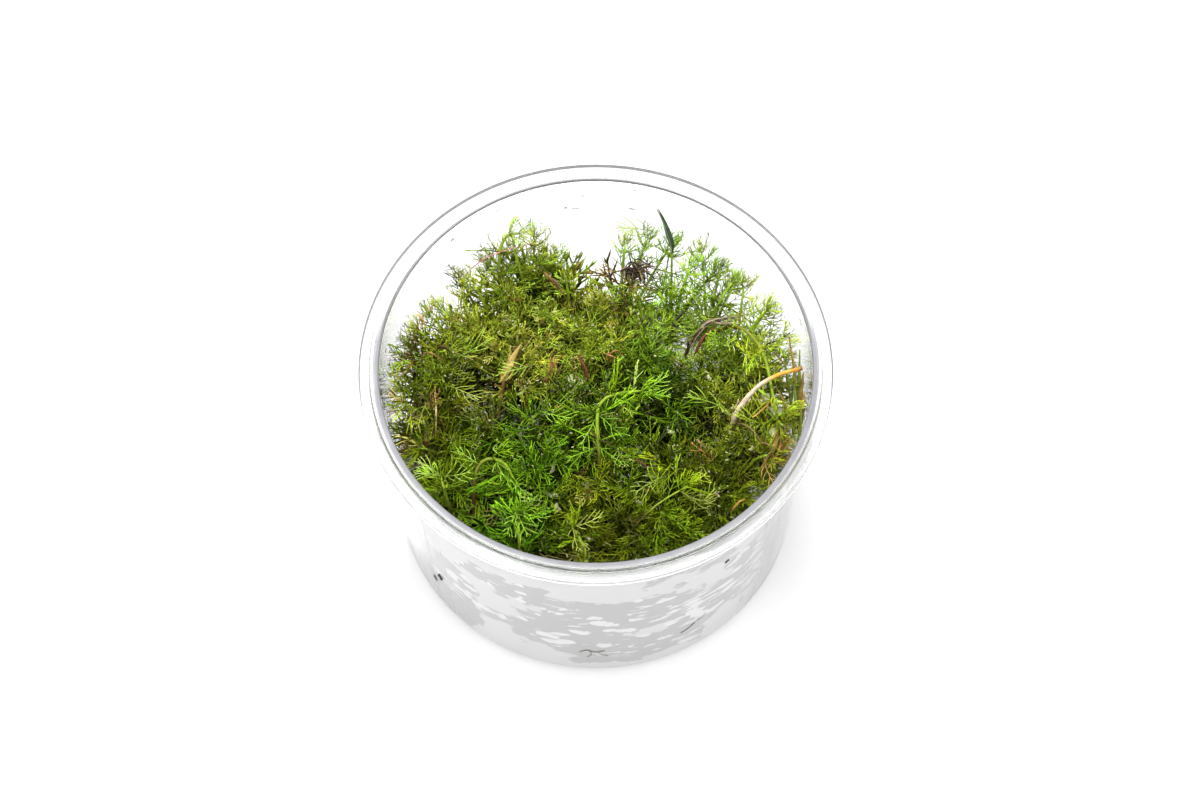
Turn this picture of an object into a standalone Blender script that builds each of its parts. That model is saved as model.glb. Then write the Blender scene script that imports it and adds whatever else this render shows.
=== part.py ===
"""A clear cup of parrot feather tissue culture: the cup, its nutrient gel, the shoots that
grow from the gel, and the few stray stems and blades that stand among them."""

import math
import random

import bmesh
import bpy
from mathutils import Vector
from mathutils.bvhtree import BVHTree

MM = 0.001
WELD = 0.001 * MM

# Cup, turned about Z with its base on z = 0
CUP_HEIGHT = 60.0 * MM
FLANGE_RADIUS = 50.0 * MM
FLANGE_DROP = 0.8 * MM
FLANGE_EDGE = 1.4 * MM
FLANGE_PLATE = 1.0 * MM
LAND_OUTER = 47.6 * MM
LAND_INNER = 45.7 * MM
LIP_ROUND = 0.3 * MM
FOOT_RADIUS = 44.1 * MM
FOOT_FILLET = 2.0 * MM
WALL = 0.9 * MM
FLOOR = 1.6 * MM
INNER_FILLET = 1.6 * MM
CUP_SEGMENTS = 48
FILLET_STEPS = 2
SHARP_ANGLE = math.radians(35)

# Gel slab that fills the foot of the cup
GEL_TOP = 11.0 * MM
GEL_WAVE = 0.7 * MM
GEL_WAVE_X = 9.0 * MM
GEL_WAVE_Y = 11.0 * MM
GEL_CALM_POWER = 4
GEL_MENISCUS = 0.9 * MM
GEL_MENISCUS_POWER = 12
GEL_SEGMENTS = 24
GEL_RINGS = (0.28, 0.56, 0.82)
GAP = 0.3 * MM
SLOPE_GAP = 0.1 * MM

# Shoots: a square stem with leaves in whorls of four
STEM_HALF = 0.55 * MM
STEM_BASE_HALF = 0.75 * MM
STEM_CLEARANCE = 1.4 * MM
STEM_NUDGE = 0.15 * MM
STEM_TRIES = 80
STEM_STEPS = 24
RISE_LEAN = 0.3
RISE_HEIGHT = 0.9
WHORL_PITCH = 7.0 * MM
WHORL_HEIGHT = 0.9 * MM
BARE_FOOT = 9.0 * MM
LEAF_LENGTH = 8.6 * MM
LEAF_HALF_WIDTH = 2.1 * MM
LEAF_WIDEST = 0.5
LEAF_PITCH = math.radians(58)
APEX_LENGTH = 6.0 * MM
APEX_PITCH = math.radians(38)
LEAF_MARGIN = 0.35 * MM
LEAF_WANDER = 0.15
RIM_CLEARANCE = 1.5 * MM

# A leaf that meets something is turned, raised or shortened, in this order of trial
TRIAL_SCALES = (1.0, 0.85, 0.7, 0.55)
TRIAL_TURNS = (0.0, 0.35, -0.35, 0.7, -0.7)
TRIAL_LIFTS = (0.0, -0.35, 0.35, -0.6)

# The mouth that stays free above the plants: a square box over the middle
MOUTH_HALF = 28.0 * MM
MOUTH_BOTTOM = 50.0 * MM

# Tips of the shoots that stand round the wall, as x, y, z in millimetres, from the tuft at
# the back left anticlockwise. Each root is nearer the middle by ROOT_SHARE.
ROOT_SHARE = 0.76
WALL_TIPS = (
    (-18.5, 36.0, 50.0),
    (-27.0, 26.5, 49.0),
    (-34.0, 20.5, 48.5),
    (-39.0, 15.0, 49.0),
    (-41.8, 7.0, 50.0),
    (-41.8, -3.5, 49.5),
    (-38.0, -13.0, 47.0),
    (-32.5, -21.5, 45.5),
    (-24.0, -30.5, 44.5),
    (-14.5, -36.0, 44.0),
    (-3.0, -37.0, 43.5),
    (8.5, -36.5, 43.5),
    (20.5, -31.5, 44.5),
    (30.0, -24.0, 45.5),
    (37.5, -15.0, 47.5),
    (41.0, -5.5, 49.0),
    (41.0, 11.5, 51.0),
    (37.5, 19.0, 51.0),
    (30.0, 26.5, 50.0),
    (21.0, 30.5, 50.0),
    (6.5, 36.5, 49.5),
    (-6.5, 29.0, 45.5),
)

# Shoots that lean far over, as root x, y and tip x, y, z in millimetres
LEANING = (
    (25.0, 16.0, 37.5, -2.0, 47.5),
    (-2.0, -14.0, 10.0, -2.5, 48.0),
    (-21.0, -20.0, -17.0, -27.0, 45.5),
    (-25.0, -4.0, -20.0, -12.0, 47.0),
)

# The other shoots each take the emptiest of several random places
FILL_COUNT = 18
FILL_TRIES = 30
FILL_LOOK_EVERY = 6
FILL_RADIUS = 33.0 * MM
FILL_LEAN = 6.0 * MM
FILL_TOP = (43.5 * MM, 48.0 * MM)
GOLDEN_ANGLE = math.pi * (3 - math.sqrt(5))
OLIVE_SIDE = -28.0 * MM
SEED = 7

# Strays: a name, a finish, and points x, y, z with half width and half thickness, in
# millimetres. The first point stands on the gel, whatever its z.
STRAY_SIDES = 6
STRAY_FACING = (0.35, 1.0, 0.2)
STRAY_KEEP_OUT_STEPS = 6
STRAYS = (
    ("narrow_leaf", "dark_leaf", (
        (11.5, 29.0, 0.0, 0.5, 0.5),
        (14.0, 31.5, 26.0, 0.5, 0.5),
        (16.0, 34.0, 48.5, 0.6, 0.4),
        (15.2, 36.0, 53.0, 1.6, 0.35),
        (13.4, 39.0, 58.5, 0.25, 0.2),
    )),
    ("cut_stem", "tan_stem", (
        (25.5, -8.5, 0.0, 0.7, 0.7),
        (27.5, -6.5, 24.0, 0.7, 0.7),
        (31.0, -3.0, 47.0, 0.8, 0.8),
        (37.0, 1.0, 52.0, 0.8, 0.8),
        (43.8, 2.6, 54.0, 0.7, 0.7),
    )),
    ("tan_blade", "tan_stem", (
        (-23.0, -1.0, 0.0, 0.5, 0.5),
        (-21.5, 1.0, 30.0, 0.6, 0.4),
        (-20.0, 4.0, 44.0, 1.3, 0.4),
        (-17.5, 11.0, 48.8, 0.3, 0.2),
    )),
    ("brown_blade", "brown_stem", (
        (-11.5, 0.5, 0.0, 0.5, 0.5),
        (-11.0, 2.0, 32.0, 0.6, 0.4),
        (-10.3, 4.0, 43.0, 1.3, 0.4),
        (-7.8, 10.0, 48.6, 0.3, 0.2),
    )),
    ("dead_stem", "brown_stem", (
        (17.0, 12.0, 0.0, 0.6, 0.6),
        (18.0, 12.5, 30.0, 0.6, 0.6),
        (20.5, 13.5, 46.0, 1.1, 0.7),
        (27.0, 16.3, 49.0, 1.0, 0.7),
        (31.0, 16.8, 50.0, 0.4, 0.4),
    )),
    ("root_tangle", "brown_stem", (
        (6.0, 21.5, 0.0, 0.6, 0.6),
        (7.0, 23.0, 30.0, 0.6, 0.6),
        (8.0, 26.5, 45.0, 1.6, 1.4),
        (8.6, 29.5, 49.5, 3.0, 2.4),
        (9.6, 32.0, 52.0, 1.0, 0.8),
    )),
)

# Finishes: colour, roughness and metallic value
FINISHES = {
    "clear_plastic": ((0.92, 0.94, 0.95, 0.25), 0.08, 0.0),
    "gel": ((0.80, 0.84, 0.76, 0.6), 0.15, 0.0),
    "green_leaf": ((0.16, 0.30, 0.05, 1.0), 0.5, 0.0),
    "olive_leaf": ((0.20, 0.22, 0.06, 1.0), 0.5, 0.0),
    "dark_leaf": ((0.07, 0.12, 0.06, 1.0), 0.45, 0.0),
    "tan_stem": ((0.62, 0.43, 0.20, 1.0), 0.5, 0.0),
    "brown_stem": ((0.17, 0.11, 0.05, 1.0), 0.6, 0.0),
}


def clear_scene():
    for old in list(bpy.data.objects):
        bpy.data.objects.remove(old, do_unlink=True)


def finish(name):
    """The named Principled material, made on its first use."""
    found = bpy.data.materials.get(name)
    if found:
        return found
    colour, roughness, metallic = FINISHES[name]
    material = bpy.data.materials.new(name)
    material.use_nodes = True
    shader = material.node_tree.nodes["Principled BSDF"]
    shader.inputs["Base Color"].default_value = colour
    shader.inputs["Alpha"].default_value = colour[3]
    shader.inputs["Roughness"].default_value = roughness
    shader.inputs["Metallic"].default_value = metallic
    return material


def add_object(name, shape, finish_name, smooth=False):
    """Turns a bmesh into a named object with one finish."""
    mesh = bpy.data.meshes.new(name)
    shape.to_mesh(mesh)
    shape.free()
    if smooth:
        mesh.shade_smooth()
        mesh.set_sharp_from_angle(angle=SHARP_ANGLE)
    mesh.materials.append(finish(finish_name))
    made = bpy.data.objects.new(name, mesh)
    bpy.context.scene.collection.objects.link(made)
    return made


def arc(centre, radius, start, end, steps):
    """Points of a profile's round corner, both ends included."""
    points = []
    for step in range(steps + 1):
        angle = math.radians(start + (end - start) * step / steps)
        points.append((centre[0] + radius * math.cos(angle), centre[1] + radius * math.sin(angle)))
    return points


def inner_radius(height):
    """Radius of the cup's inner wall, which widens evenly to the lip."""
    share = (height - FLOOR) / (CUP_HEIGHT - FLOOR)
    foot = FOOT_RADIUS - WALL
    return foot + (LAND_INNER - foot) * share


def cup_profile():
    """Radius and height from the middle of the base, over the rim, to the middle of the floor."""
    plate_top = CUP_HEIGHT - FLANGE_DROP
    plate_under = plate_top - FLANGE_PLATE
    profile = [(0.0, 0.0)]
    profile += arc((FOOT_RADIUS - FOOT_FILLET, FOOT_FILLET), FOOT_FILLET, -90, 0, FILLET_STEPS)
    profile.append((inner_radius(plate_under) + WALL, plate_under))
    profile.append((FLANGE_RADIUS - FLANGE_PLATE, plate_under))
    profile.append((FLANGE_RADIUS - FLANGE_PLATE, plate_top - FLANGE_EDGE))
    profile.append((FLANGE_RADIUS, plate_top - FLANGE_EDGE))
    profile.append((FLANGE_RADIUS, plate_top))
    profile.append((LAND_OUTER + LIP_ROUND, plate_top))
    profile.append((LAND_OUTER, CUP_HEIGHT))
    profile.append((LAND_INNER + LIP_ROUND, CUP_HEIGHT))
    profile.append((LAND_INNER, CUP_HEIGHT - LIP_ROUND))
    corner = inner_radius(FLOOR + INNER_FILLET) - INNER_FILLET
    profile += arc((corner, FLOOR + INNER_FILLET), INNER_FILLET, 0, -90, FILLET_STEPS)
    profile.append((0.0, FLOOR))
    return profile


def make_cup():
    shape = bmesh.new()
    points = [shape.verts.new((radius, 0.0, height)) for radius, height in cup_profile()]
    edges = [shape.edges.new(pair) for pair in zip(points, points[1:])]
    bmesh.ops.spin(
        shape,
        geom=points + edges,
        axis=(0, 0, 1),
        cent=(0, 0, 0),
        angle=math.tau,
        steps=CUP_SEGMENTS,
        use_merge=True,
    )
    bmesh.ops.remove_doubles(shape, verts=shape.verts, dist=WELD)
    bmesh.ops.recalc_face_normals(shape, faces=shape.faces)
    return add_object("cup", shape, "clear_plastic", smooth=True)


def gel_height(x, y):
    """Height of the gel's top, which waves a little and climbs at the wall."""
    wave = math.sin(x / GEL_WAVE_X) * math.cos(y / GEL_WAVE_Y)
    share = math.hypot(x, y) / inner_radius(GEL_TOP)
    calm = 1 - share**GEL_CALM_POWER
    return GEL_TOP + GEL_WAVE * wave * calm + GEL_MENISCUS * share**GEL_MENISCUS_POWER


def ring_of(shape, radius, height_at):
    """A ring of the gel's corners, at the height that height_at gives for each."""
    ring = []
    for step in range(GEL_SEGMENTS):
        angle = math.tau * step / GEL_SEGMENTS
        x, y = radius * math.cos(angle), radius * math.sin(angle)
        ring.append(shape.verts.new((x, y, height_at(x, y))))
    return ring


def bridge(shape, lower, upper):
    for step, corner in enumerate(lower):
        following = (step + 1) % len(lower)
        shape.faces.new((corner, lower[following], upper[following], upper[step]))


def cap(shape, ring, middle):
    for step, corner in enumerate(ring):
        shape.faces.new((corner, ring[(step + 1) % len(ring)], middle))


def make_gel():
    shape = bmesh.new()
    bottom = FLOOR + GAP
    shoulder = FLOOR + INNER_FILLET + 2 * GAP
    edge = inner_radius(GEL_TOP) - 2 * GAP
    rings = [
        ring_of(shape, inner_radius(bottom) - INNER_FILLET - GAP, lambda x, y: bottom),
        ring_of(shape, inner_radius(shoulder) - 2 * GAP, lambda x, y: shoulder),
        ring_of(shape, edge, gel_height),
    ]
    rings += [ring_of(shape, edge * share, gel_height) for share in reversed(GEL_RINGS)]
    for lower, upper in zip(rings, rings[1:]):
        bridge(shape, lower, upper)
    cap(shape, rings[0][::-1], shape.verts.new((0, 0, bottom)))
    cap(shape, rings[-1], shape.verts.new((0, 0, gel_height(0, 0))))
    bmesh.ops.triangulate(shape, faces=shape.faces)
    return add_object("nutrient_gel", shape, "gel", smooth=True)


class Stem:
    """The middle line of a shoot, a curve that rises over its root and leans to its tip."""

    def __init__(self, root, tip, turn):
        over_root = root.lerp(tip, RISE_LEAN)
        over_root.z = root.z + (tip.z - root.z) * RISE_HEIGHT
        shares = [step / STEM_STEPS for step in range(STEM_STEPS + 1)]
        self.points = [self.curve(root, over_root, tip, share) for share in shares]
        self.lengths = [0.0]
        for before, after in zip(self.points, self.points[1:]):
            self.lengths.append(self.lengths[-1] + (after - before).length)
        self.length = self.lengths[-1]
        self.turn = turn

    @staticmethod
    def curve(root, over_root, tip, share):
        return root.lerp(over_root, share).lerp(over_root.lerp(tip, share), share)

    def at(self, along):
        """The point at a length along the stem."""
        for index in range(1, len(self.points)):
            if along <= self.lengths[index] or index == len(self.points) - 1:
                step = self.lengths[index] - self.lengths[index - 1]
                share = (along - self.lengths[index - 1]) / step
                return self.points[index - 1].lerp(self.points[index], share)

    def frame(self, along):
        """Direction of the stem there, and two directions across it."""
        reach = WHORL_HEIGHT / 2
        ahead = self.at(min(along + reach, self.length)) - self.at(max(along - reach, 0.0))
        ahead.normalize()
        side = Vector((math.cos(self.turn), math.sin(self.turn), 0.0))
        across = (side - ahead * side.dot(ahead)).normalized()
        return ahead, across, ahead.cross(across)

    def whorls(self):
        """Lengths along the stem at which leaves grow, the last just under the tip."""
        top = self.length - WHORL_HEIGHT
        count = int((top - BARE_FOOT) / WHORL_PITCH) + 1
        return [top - WHORL_PITCH * index for index in reversed(range(count))]

    def corners(self, along, half, twist):
        """Four corners of the square section there."""
        ahead, across, up = self.frame(along)
        middle = self.at(along)
        found = []
        for quarter in range(4):
            angle = twist + math.pi * (quarter / 2 + 0.25)
            reach = across * math.cos(angle) + up * math.sin(angle)
            found.append(middle + reach * half * math.sqrt(2))
        return found


def inside_cup(point):
    """Whether a leaf's point clears the wall, the gel and the free mouth."""
    if point.z > CUP_HEIGHT - RIM_CLEARANCE:
        return False
    if point.z < gel_height(point.x, point.y) + 2 * GAP:
        return False
    if math.hypot(point.x, point.y) > inner_radius(point.z) - 2 * GAP:
        return False
    in_mouth = max(abs(point.x), abs(point.y)) < MOUTH_HALF + GAP
    return not (in_mouth and point.z > MOUTH_BOTTOM - GAP)


def leaf_points(face, pitch, yaw, length, half_width):
    """Left, right and tip of a leaf that grows from a side face of its whorl."""
    lower_left, lower_right, upper_right, upper_left = face
    foot = (lower_left + lower_right + upper_right + upper_left) / 4
    side = (lower_right - lower_left).normalized()
    ahead = (upper_left - lower_left).normalized()
    out = side.cross(ahead)
    heading = out * math.cos(yaw) + side * math.sin(yaw)
    along = (heading * math.sin(pitch) + ahead * math.cos(pitch)).normalized()
    breadth = ahead.cross(along).normalized()
    middle = foot + along * length * LEAF_WIDEST
    return middle - breadth * half_width, middle + breadth * half_width, foot + along * length, foot


def leaf_is_clear(left, right, tip, foot, others):
    """Whether a leaf a little longer, wider and thicker than this one meets nothing."""
    along = (tip - foot).normalized()
    breadth = (right - left).normalized()
    thick = along.cross(breadth) * LEAF_MARGIN
    outline = [
        foot - breadth * STEM_HALF,
        foot + breadth * STEM_HALF,
        right + breadth * LEAF_MARGIN,
        tip + along * LEAF_MARGIN,
        left - breadth * LEAF_MARGIN,
    ]
    if not all(inside_cup(point) for point in outline[2:]):
        return False
    points = [point + thick for point in outline] + [point - thick for point in outline]
    faces = [(0, 1, 2, 3, 4), (9, 8, 7, 6, 5)]
    faces += [(side, (side + 1) % 5, (side + 1) % 5 + 5, side + 5) for side in range(5)]
    return not BVHTree.FromPolygons(points, faces).overlap(others)


def find_leaf(face, size, rng, others):
    """The first leaf that fits, of the size given as length and angle from the stem."""
    length, pitch = size
    wander = rng.uniform(-LEAF_WANDER, LEAF_WANDER)
    for scale in TRIAL_SCALES:
        for turn in TRIAL_TURNS:
            for lift in TRIAL_LIFTS:
                width = LEAF_HALF_WIDTH * scale
                found = leaf_points(face, pitch + lift, turn + wander, length * scale, width)
                if leaf_is_clear(*found, others):
                    return found
    return None


def add_leaf(shape, quad, leaf):
    """Fuses a leaf, thick at its foot and sharp at its edges, to a side of the stem."""
    lower_left, lower_right, upper_right, upper_left = quad
    left, right, tip = (shape.verts.new(point) for point in leaf[:3])
    shape.faces.new((upper_right, upper_left, tip))
    shape.faces.new((upper_left, left, tip))
    shape.faces.new((upper_right, tip, right))
    shape.faces.new((lower_left, lower_right, tip))
    shape.faces.new((lower_left, tip, left))
    shape.faces.new((lower_right, right, tip))
    shape.faces.new((upper_left, lower_left, left))
    shape.faces.new((lower_right, upper_right, right))


def stem_rings(stem):
    """Length along the stem, half width and twist of each section, and where whorls start."""
    rings = [(0.0, STEM_BASE_HALF, 0.0)]
    starts = []
    for number, along in enumerate(stem.whorls()):
        twist = math.pi / 4 * (number % 2)
        starts.append(len(rings))
        rings.append((along - WHORL_HEIGHT / 2, STEM_HALF, twist))
        rings.append((along + WHORL_HEIGHT / 2, STEM_HALF, twist))
    return rings, starts


def shoot_shape(stem, rng, others=None):
    """The bmesh of a shoot, one closed body: bare, or in leaf where others gives the rest."""
    shape = bmesh.new()
    rings, starts = stem_rings(stem)
    corners = [[shape.verts.new(point) for point in stem.corners(*ring)] for ring in rings]
    shape.faces.new(reversed(corners[0]))
    for index, (lower, upper) in enumerate(zip(corners, corners[1:])):
        size = (APEX_LENGTH, APEX_PITCH) if index == starts[-1] else (LEAF_LENGTH, LEAF_PITCH)
        for side in range(4):
            following = (side + 1) % 4
            quad = (lower[side], lower[following], upper[following], upper[side])
            leaf = None
            if others and index in starts:
                leaf = find_leaf([corner.co for corner in quad], size, rng, others)
            if leaf:
                add_leaf(shape, quad, leaf)
            else:
                shape.faces.new(quad)
    cap(shape, corners[-1], shape.verts.new(stem.at(stem.length)))
    bmesh.ops.triangulate(shape, faces=shape.faces)
    return shape


def polygons_of(shape):
    shape.verts.index_update()
    points = [corner.co.copy() for corner in shape.verts]
    return points, [[corner.index for corner in face.verts] for face in shape.faces]


def tree_of(parts):
    """One search tree over several meshes given as points and faces."""
    points, faces = [], []
    for part_points, part_faces in parts:
        first = len(points)
        points += part_points
        faces += [[first + corner for corner in face] for face in part_faces]
    return BVHTree.FromPolygons(points, faces)


def ribbon_rings(points):
    """Corners of the section at each point of a stray's line, flat to STRAY_FACING."""
    rings = []
    for index, (x, y, z, half_width, half_thickness) in enumerate(points):
        middle = Vector((x, y, z)) * MM
        if index == 0:
            middle.z = gel_height(middle.x, middle.y) + GAP + SLOPE_GAP
        before = Vector(points[max(index - 1, 0)][:3])
        after = Vector(points[min(index + 1, len(points) - 1)][:3])
        ahead = Vector((0, 0, 1)) if index == 0 else (after - before).normalized()
        across = ahead.cross(Vector(STRAY_FACING)).normalized()
        thick = ahead.cross(across)
        ring = []
        for corner in range(STRAY_SIDES):
            angle = math.tau * corner / STRAY_SIDES
            reach = across * half_width * math.cos(angle) + thick * half_thickness * math.sin(angle)
            ring.append(middle + reach * MM)
        rings.append(ring)
    return rings


def stray_shape(points):
    shape = bmesh.new()
    rings = [[shape.verts.new(corner) for corner in ring] for ring in ribbon_rings(points)]
    shape.faces.new(reversed(rings[0]))
    for lower, upper in zip(rings, rings[1:]):
        bridge(shape, lower, upper)
    shape.faces.new(rings[-1])
    bmesh.ops.triangulate(shape, faces=shape.faces)
    return shape


def stem_from(root_x, root_y, tip, turn):
    """A stem whose foot is just above the gel."""
    root = Vector((root_x, root_y, gel_height(root_x, root_y) + GAP + SLOPE_GAP))
    return Stem(root, tip, turn)


def room_round(stem, taken, every=1):
    """Least free distance from a stem to the points already taken, less their half widths."""
    own_points = stem.points[::every]
    rooms = [(own - point).length - half for point, half in taken for own in own_points]
    return min(rooms)


def taken_by_strays():
    """Points along the strays, each with the stray's half width there."""
    taken = []
    for _, _, points in STRAYS:
        for before, after in zip(points, points[1:]):
            for step in range(STRAY_KEEP_OUT_STEPS + 1):
                share = step / STRAY_KEEP_OUT_STEPS
                point = Vector(before[:3]).lerp(Vector(after[:3]), share) * MM
                taken.append((point, max(before[3], after[3]) * MM))
    return taken


def wall_stems():
    """Root x, y and tip of each hand-placed stem."""
    for x, y, z in WALL_TIPS:
        yield x * ROOT_SHARE * MM, y * ROOT_SHARE * MM, Vector((x, y, z)) * MM
    for root_x, root_y, x, y, z in LEANING:
        yield root_x * MM, root_y * MM, Vector((x, y, z)) * MM


def nudged_stem(root_x, root_y, tip, turn, taken):
    """The stem asked for, its root moved in a widening spiral until it meets nothing."""
    for step in range(STEM_TRIES):
        angle = GOLDEN_ANGLE * step
        reach = STEM_NUDGE * step
        moved = (root_x + reach * math.cos(angle), root_y + reach * math.sin(angle))
        stem = stem_from(*moved, tip, turn)
        if room_round(stem, taken) > STEM_CLEARANCE:
            break
    return stem


def fill_stem(turn, rng, taken):
    """The roomiest of several stems at random places."""
    best = None
    for _ in range(FILL_TRIES):
        radius = FILL_RADIUS * math.sqrt(rng.random())
        angle = rng.uniform(0, math.tau)
        x, y = radius * math.cos(angle), radius * math.sin(angle)
        lean_x, lean_y = (rng.uniform(-FILL_LEAN, FILL_LEAN) for _ in range(2))
        stem = stem_from(x, y, Vector((x + lean_x, y + lean_y, rng.uniform(*FILL_TOP))), turn)
        room = room_round(stem, taken, FILL_LOOK_EVERY)
        if best is None or room > best[0]:
            best = (room, stem)
    return best[1]


def make_stems(rng):
    """All the stems: those placed by hand, then those that fill the cup."""
    taken = taken_by_strays()
    stems = []

    def keep(stem):
        stems.append(stem)
        taken.extend((point, STEM_BASE_HALF) for point in stem.points)

    for root_x, root_y, tip in wall_stems():
        keep(nudged_stem(root_x, root_y, tip, GOLDEN_ANGLE * len(stems), taken))
    for _ in range(FILL_COUNT):
        keep(fill_stem(GOLDEN_ANGLE * len(stems), rng, taken))
    return stems


def make_strays():
    """Makes each stray and returns its mesh, so that leaves keep clear of it."""
    parts = []
    for name, finish_name, points in STRAYS:
        shape = stray_shape(points)
        parts.append(polygons_of(shape))
        add_object(name, shape, finish_name)
    return parts


def make_shoots(strays):
    rng = random.Random(SEED)
    stems = make_stems(rng)
    bare = []
    for stem in stems:
        shape = shoot_shape(stem, rng)
        bare.append(polygons_of(shape))
        shape.free()
    grown = []
    for index, stem in enumerate(stems):
        others = tree_of(strays + grown + bare[index + 1:])
        shape = shoot_shape(stem, rng, others)
        grown.append(polygons_of(shape))
        colour = "olive_leaf" if stem.points[-1].x < OLIVE_SIDE else "green_leaf"
        add_object(f"shoot_{index + 1:02d}", shape, colour)


def main():
    clear_scene()
    make_cup()
    make_gel()
    make_shoots(make_strays())


main()
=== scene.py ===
"""Looks of a clear cup of parrot feather tissue culture: feathery shoots in nutrient gel."""

import math
import random

import bpy
import numpy as np
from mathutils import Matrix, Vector


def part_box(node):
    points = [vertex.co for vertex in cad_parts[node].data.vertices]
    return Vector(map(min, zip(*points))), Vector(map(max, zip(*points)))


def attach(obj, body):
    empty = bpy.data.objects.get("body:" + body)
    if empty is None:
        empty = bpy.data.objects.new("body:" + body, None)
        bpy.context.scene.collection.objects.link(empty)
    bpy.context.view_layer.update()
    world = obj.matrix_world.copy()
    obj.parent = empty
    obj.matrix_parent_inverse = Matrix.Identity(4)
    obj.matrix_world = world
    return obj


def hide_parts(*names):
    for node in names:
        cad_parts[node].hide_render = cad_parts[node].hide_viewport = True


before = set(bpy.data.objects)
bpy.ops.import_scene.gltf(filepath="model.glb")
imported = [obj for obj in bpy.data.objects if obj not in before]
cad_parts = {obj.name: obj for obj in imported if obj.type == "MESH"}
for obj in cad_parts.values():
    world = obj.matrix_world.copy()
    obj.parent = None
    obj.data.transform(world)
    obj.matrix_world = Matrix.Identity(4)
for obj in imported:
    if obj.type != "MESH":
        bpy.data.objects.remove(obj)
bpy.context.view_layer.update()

MM = 0.001

# Sizes that the solids share
CUP_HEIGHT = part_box("cup")[1].z
FLANGE_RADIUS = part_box("cup")[1].x
FLANGE_DROP = 0.8 * MM
FLANGE_EDGE = 1.4 * MM
FLANGE_PLATE = 1.0 * MM
LAND_OUTER = 47.6 * MM
LAND_INNER = 45.7 * MM
LIP_ROUND = 0.3 * MM
FOOT_RADIUS = 44.1 * MM
FOOT_FILLET = 2.0 * MM
WALL = 0.9 * MM
FLOOR = 1.6 * MM
INNER_FILLET = 1.6 * MM
GEL_TOP = 11.0 * MM
GEL_WAVE = 0.7 * MM
GEL_WAVE_X = 9.0 * MM
GEL_WAVE_Y = 11.0 * MM
GEL_CALM_POWER = 4
GEL_MENISCUS = 0.9 * MM
GEL_MENISCUS_POWER = 12
GAP = 0.3 * MM
SLOPE_GAP = 0.1 * MM

STEM_BASE_HALF = 0.75 * MM
STEM_CLEARANCE = 1.4 * MM
STEM_NUDGE = 0.15 * MM
STEM_TRIES = 80
STEM_STEPS = 24
RISE_LEAN = 0.3
RISE_HEIGHT = 0.9

ROOT_SHARE = 0.76
WALL_TIPS = (
    (-18.5, 36, 50), (-27, 26.5, 49), (-34, 20.5, 48.5), (-39, 15, 49), (-41.8, 7, 50),
    (-41.8, -3.5, 49.5), (-38, -13, 47), (-32.5, -21.5, 45.5), (-24, -30.5, 44.5), (-14.5, -36, 44),
    (-3, -37, 43.5), (8.5, -36.5, 43.5), (20.5, -31.5, 44.5), (30, -24, 45.5), (37.5, -15, 47.5),
    (41, -5.5, 49), (41, 11.5, 51), (37.5, 19, 51), (30, 26.5, 50), (21, 30.5, 50), (6.5, 36.5, 49.5),
    (-6.5, 29, 45.5),
)
LEANING = (
    (25, 16, 37.5, -2, 47.5), (-2, -14, 10, -2.5, 48), (-21, -20, -17, -27, 45.5),
    (-25, -4, -20, -12, 47),
)
FILL_COUNT = 18
FILL_TRIES = 30
FILL_LOOK_EVERY = 6
FILL_RADIUS = 33.0 * MM
FILL_LEAN = 6.0 * MM
FILL_TOP = (43.5 * MM, 48.0 * MM)
GOLDEN_ANGLE = math.pi * (3 - math.sqrt(5))
SEED = 7

STRAY_KEEP_OUT_STEPS = 6
STRAYS = {
    "narrow_leaf": (
        (11.5, 29, 0, 0.5, 0.5), (14, 31.5, 26, 0.5, 0.5), (16, 34, 48.5, 0.6, 0.4),
        (15.2, 36, 53, 1.6, 0.35), (13.4, 39, 58.5, 0.25, 0.2),
    ),
    "cut_stem": (
        (25.5, -8.5, 0, 0.7, 0.7), (27.5, -6.5, 24, 0.7, 0.7), (31, -3, 47, 0.8, 0.8),
        (37, 1, 52, 0.8, 0.8), (43.8, 2.6, 54, 0.7, 0.7),
    ),
    "tan_blade": (
        (-23, -1, 0, 0.5, 0.5), (-21.5, 1, 30, 0.6, 0.4), (-20, 4, 44, 1.3, 0.4),
        (-17.5, 11, 48.8, 0.3, 0.2),
    ),
    "brown_blade": (
        (-11.5, 0.5, 0, 0.5, 0.5), (-11, 2, 32, 0.6, 0.4), (-10.3, 4, 43, 1.3, 0.4),
        (-7.8, 10, 48.6, 0.3, 0.2),
    ),
    "dead_stem": (
        (17, 12, 0, 0.6, 0.6), (18, 12.5, 30, 0.6, 0.6), (20.5, 13.5, 46, 1.1, 0.7),
        (27, 16.3, 49, 1, 0.7), (31, 16.8, 50, 0.4, 0.4),
    ),
    "root_tangle": (
        (6, 21.5, 0, 0.6, 0.6), (7, 23, 30, 0.6, 0.6), (8, 26.5, 45, 1.6, 1.4),
        (8.6, 29.5, 49.5, 3, 2.4), (9.6, 32, 52, 1, 0.8),
    ),
}

# The fine cup and gel
CUP_SEGMENTS = 240
FLANGE_EDGE_ROUND = 0.15 * MM
BASE_RAISE = 0.25 * MM
LOOP = 0.3 * MM
GEL_SEGMENTS = 128
GEL_LUMPS = 160

# Camera, fitted to the cup's rim, lip and foot in the photograph
CAMERA_LENS = 100.0
CAMERA_SENSOR = 36.0
CAMERA_ELEVATION = math.radians(62.32)
CAMERA_DISTANCE = 715.2 * MM
CAMERA_TARGET = Vector((0.88, 0.0, 44.11)) * MM

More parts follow.
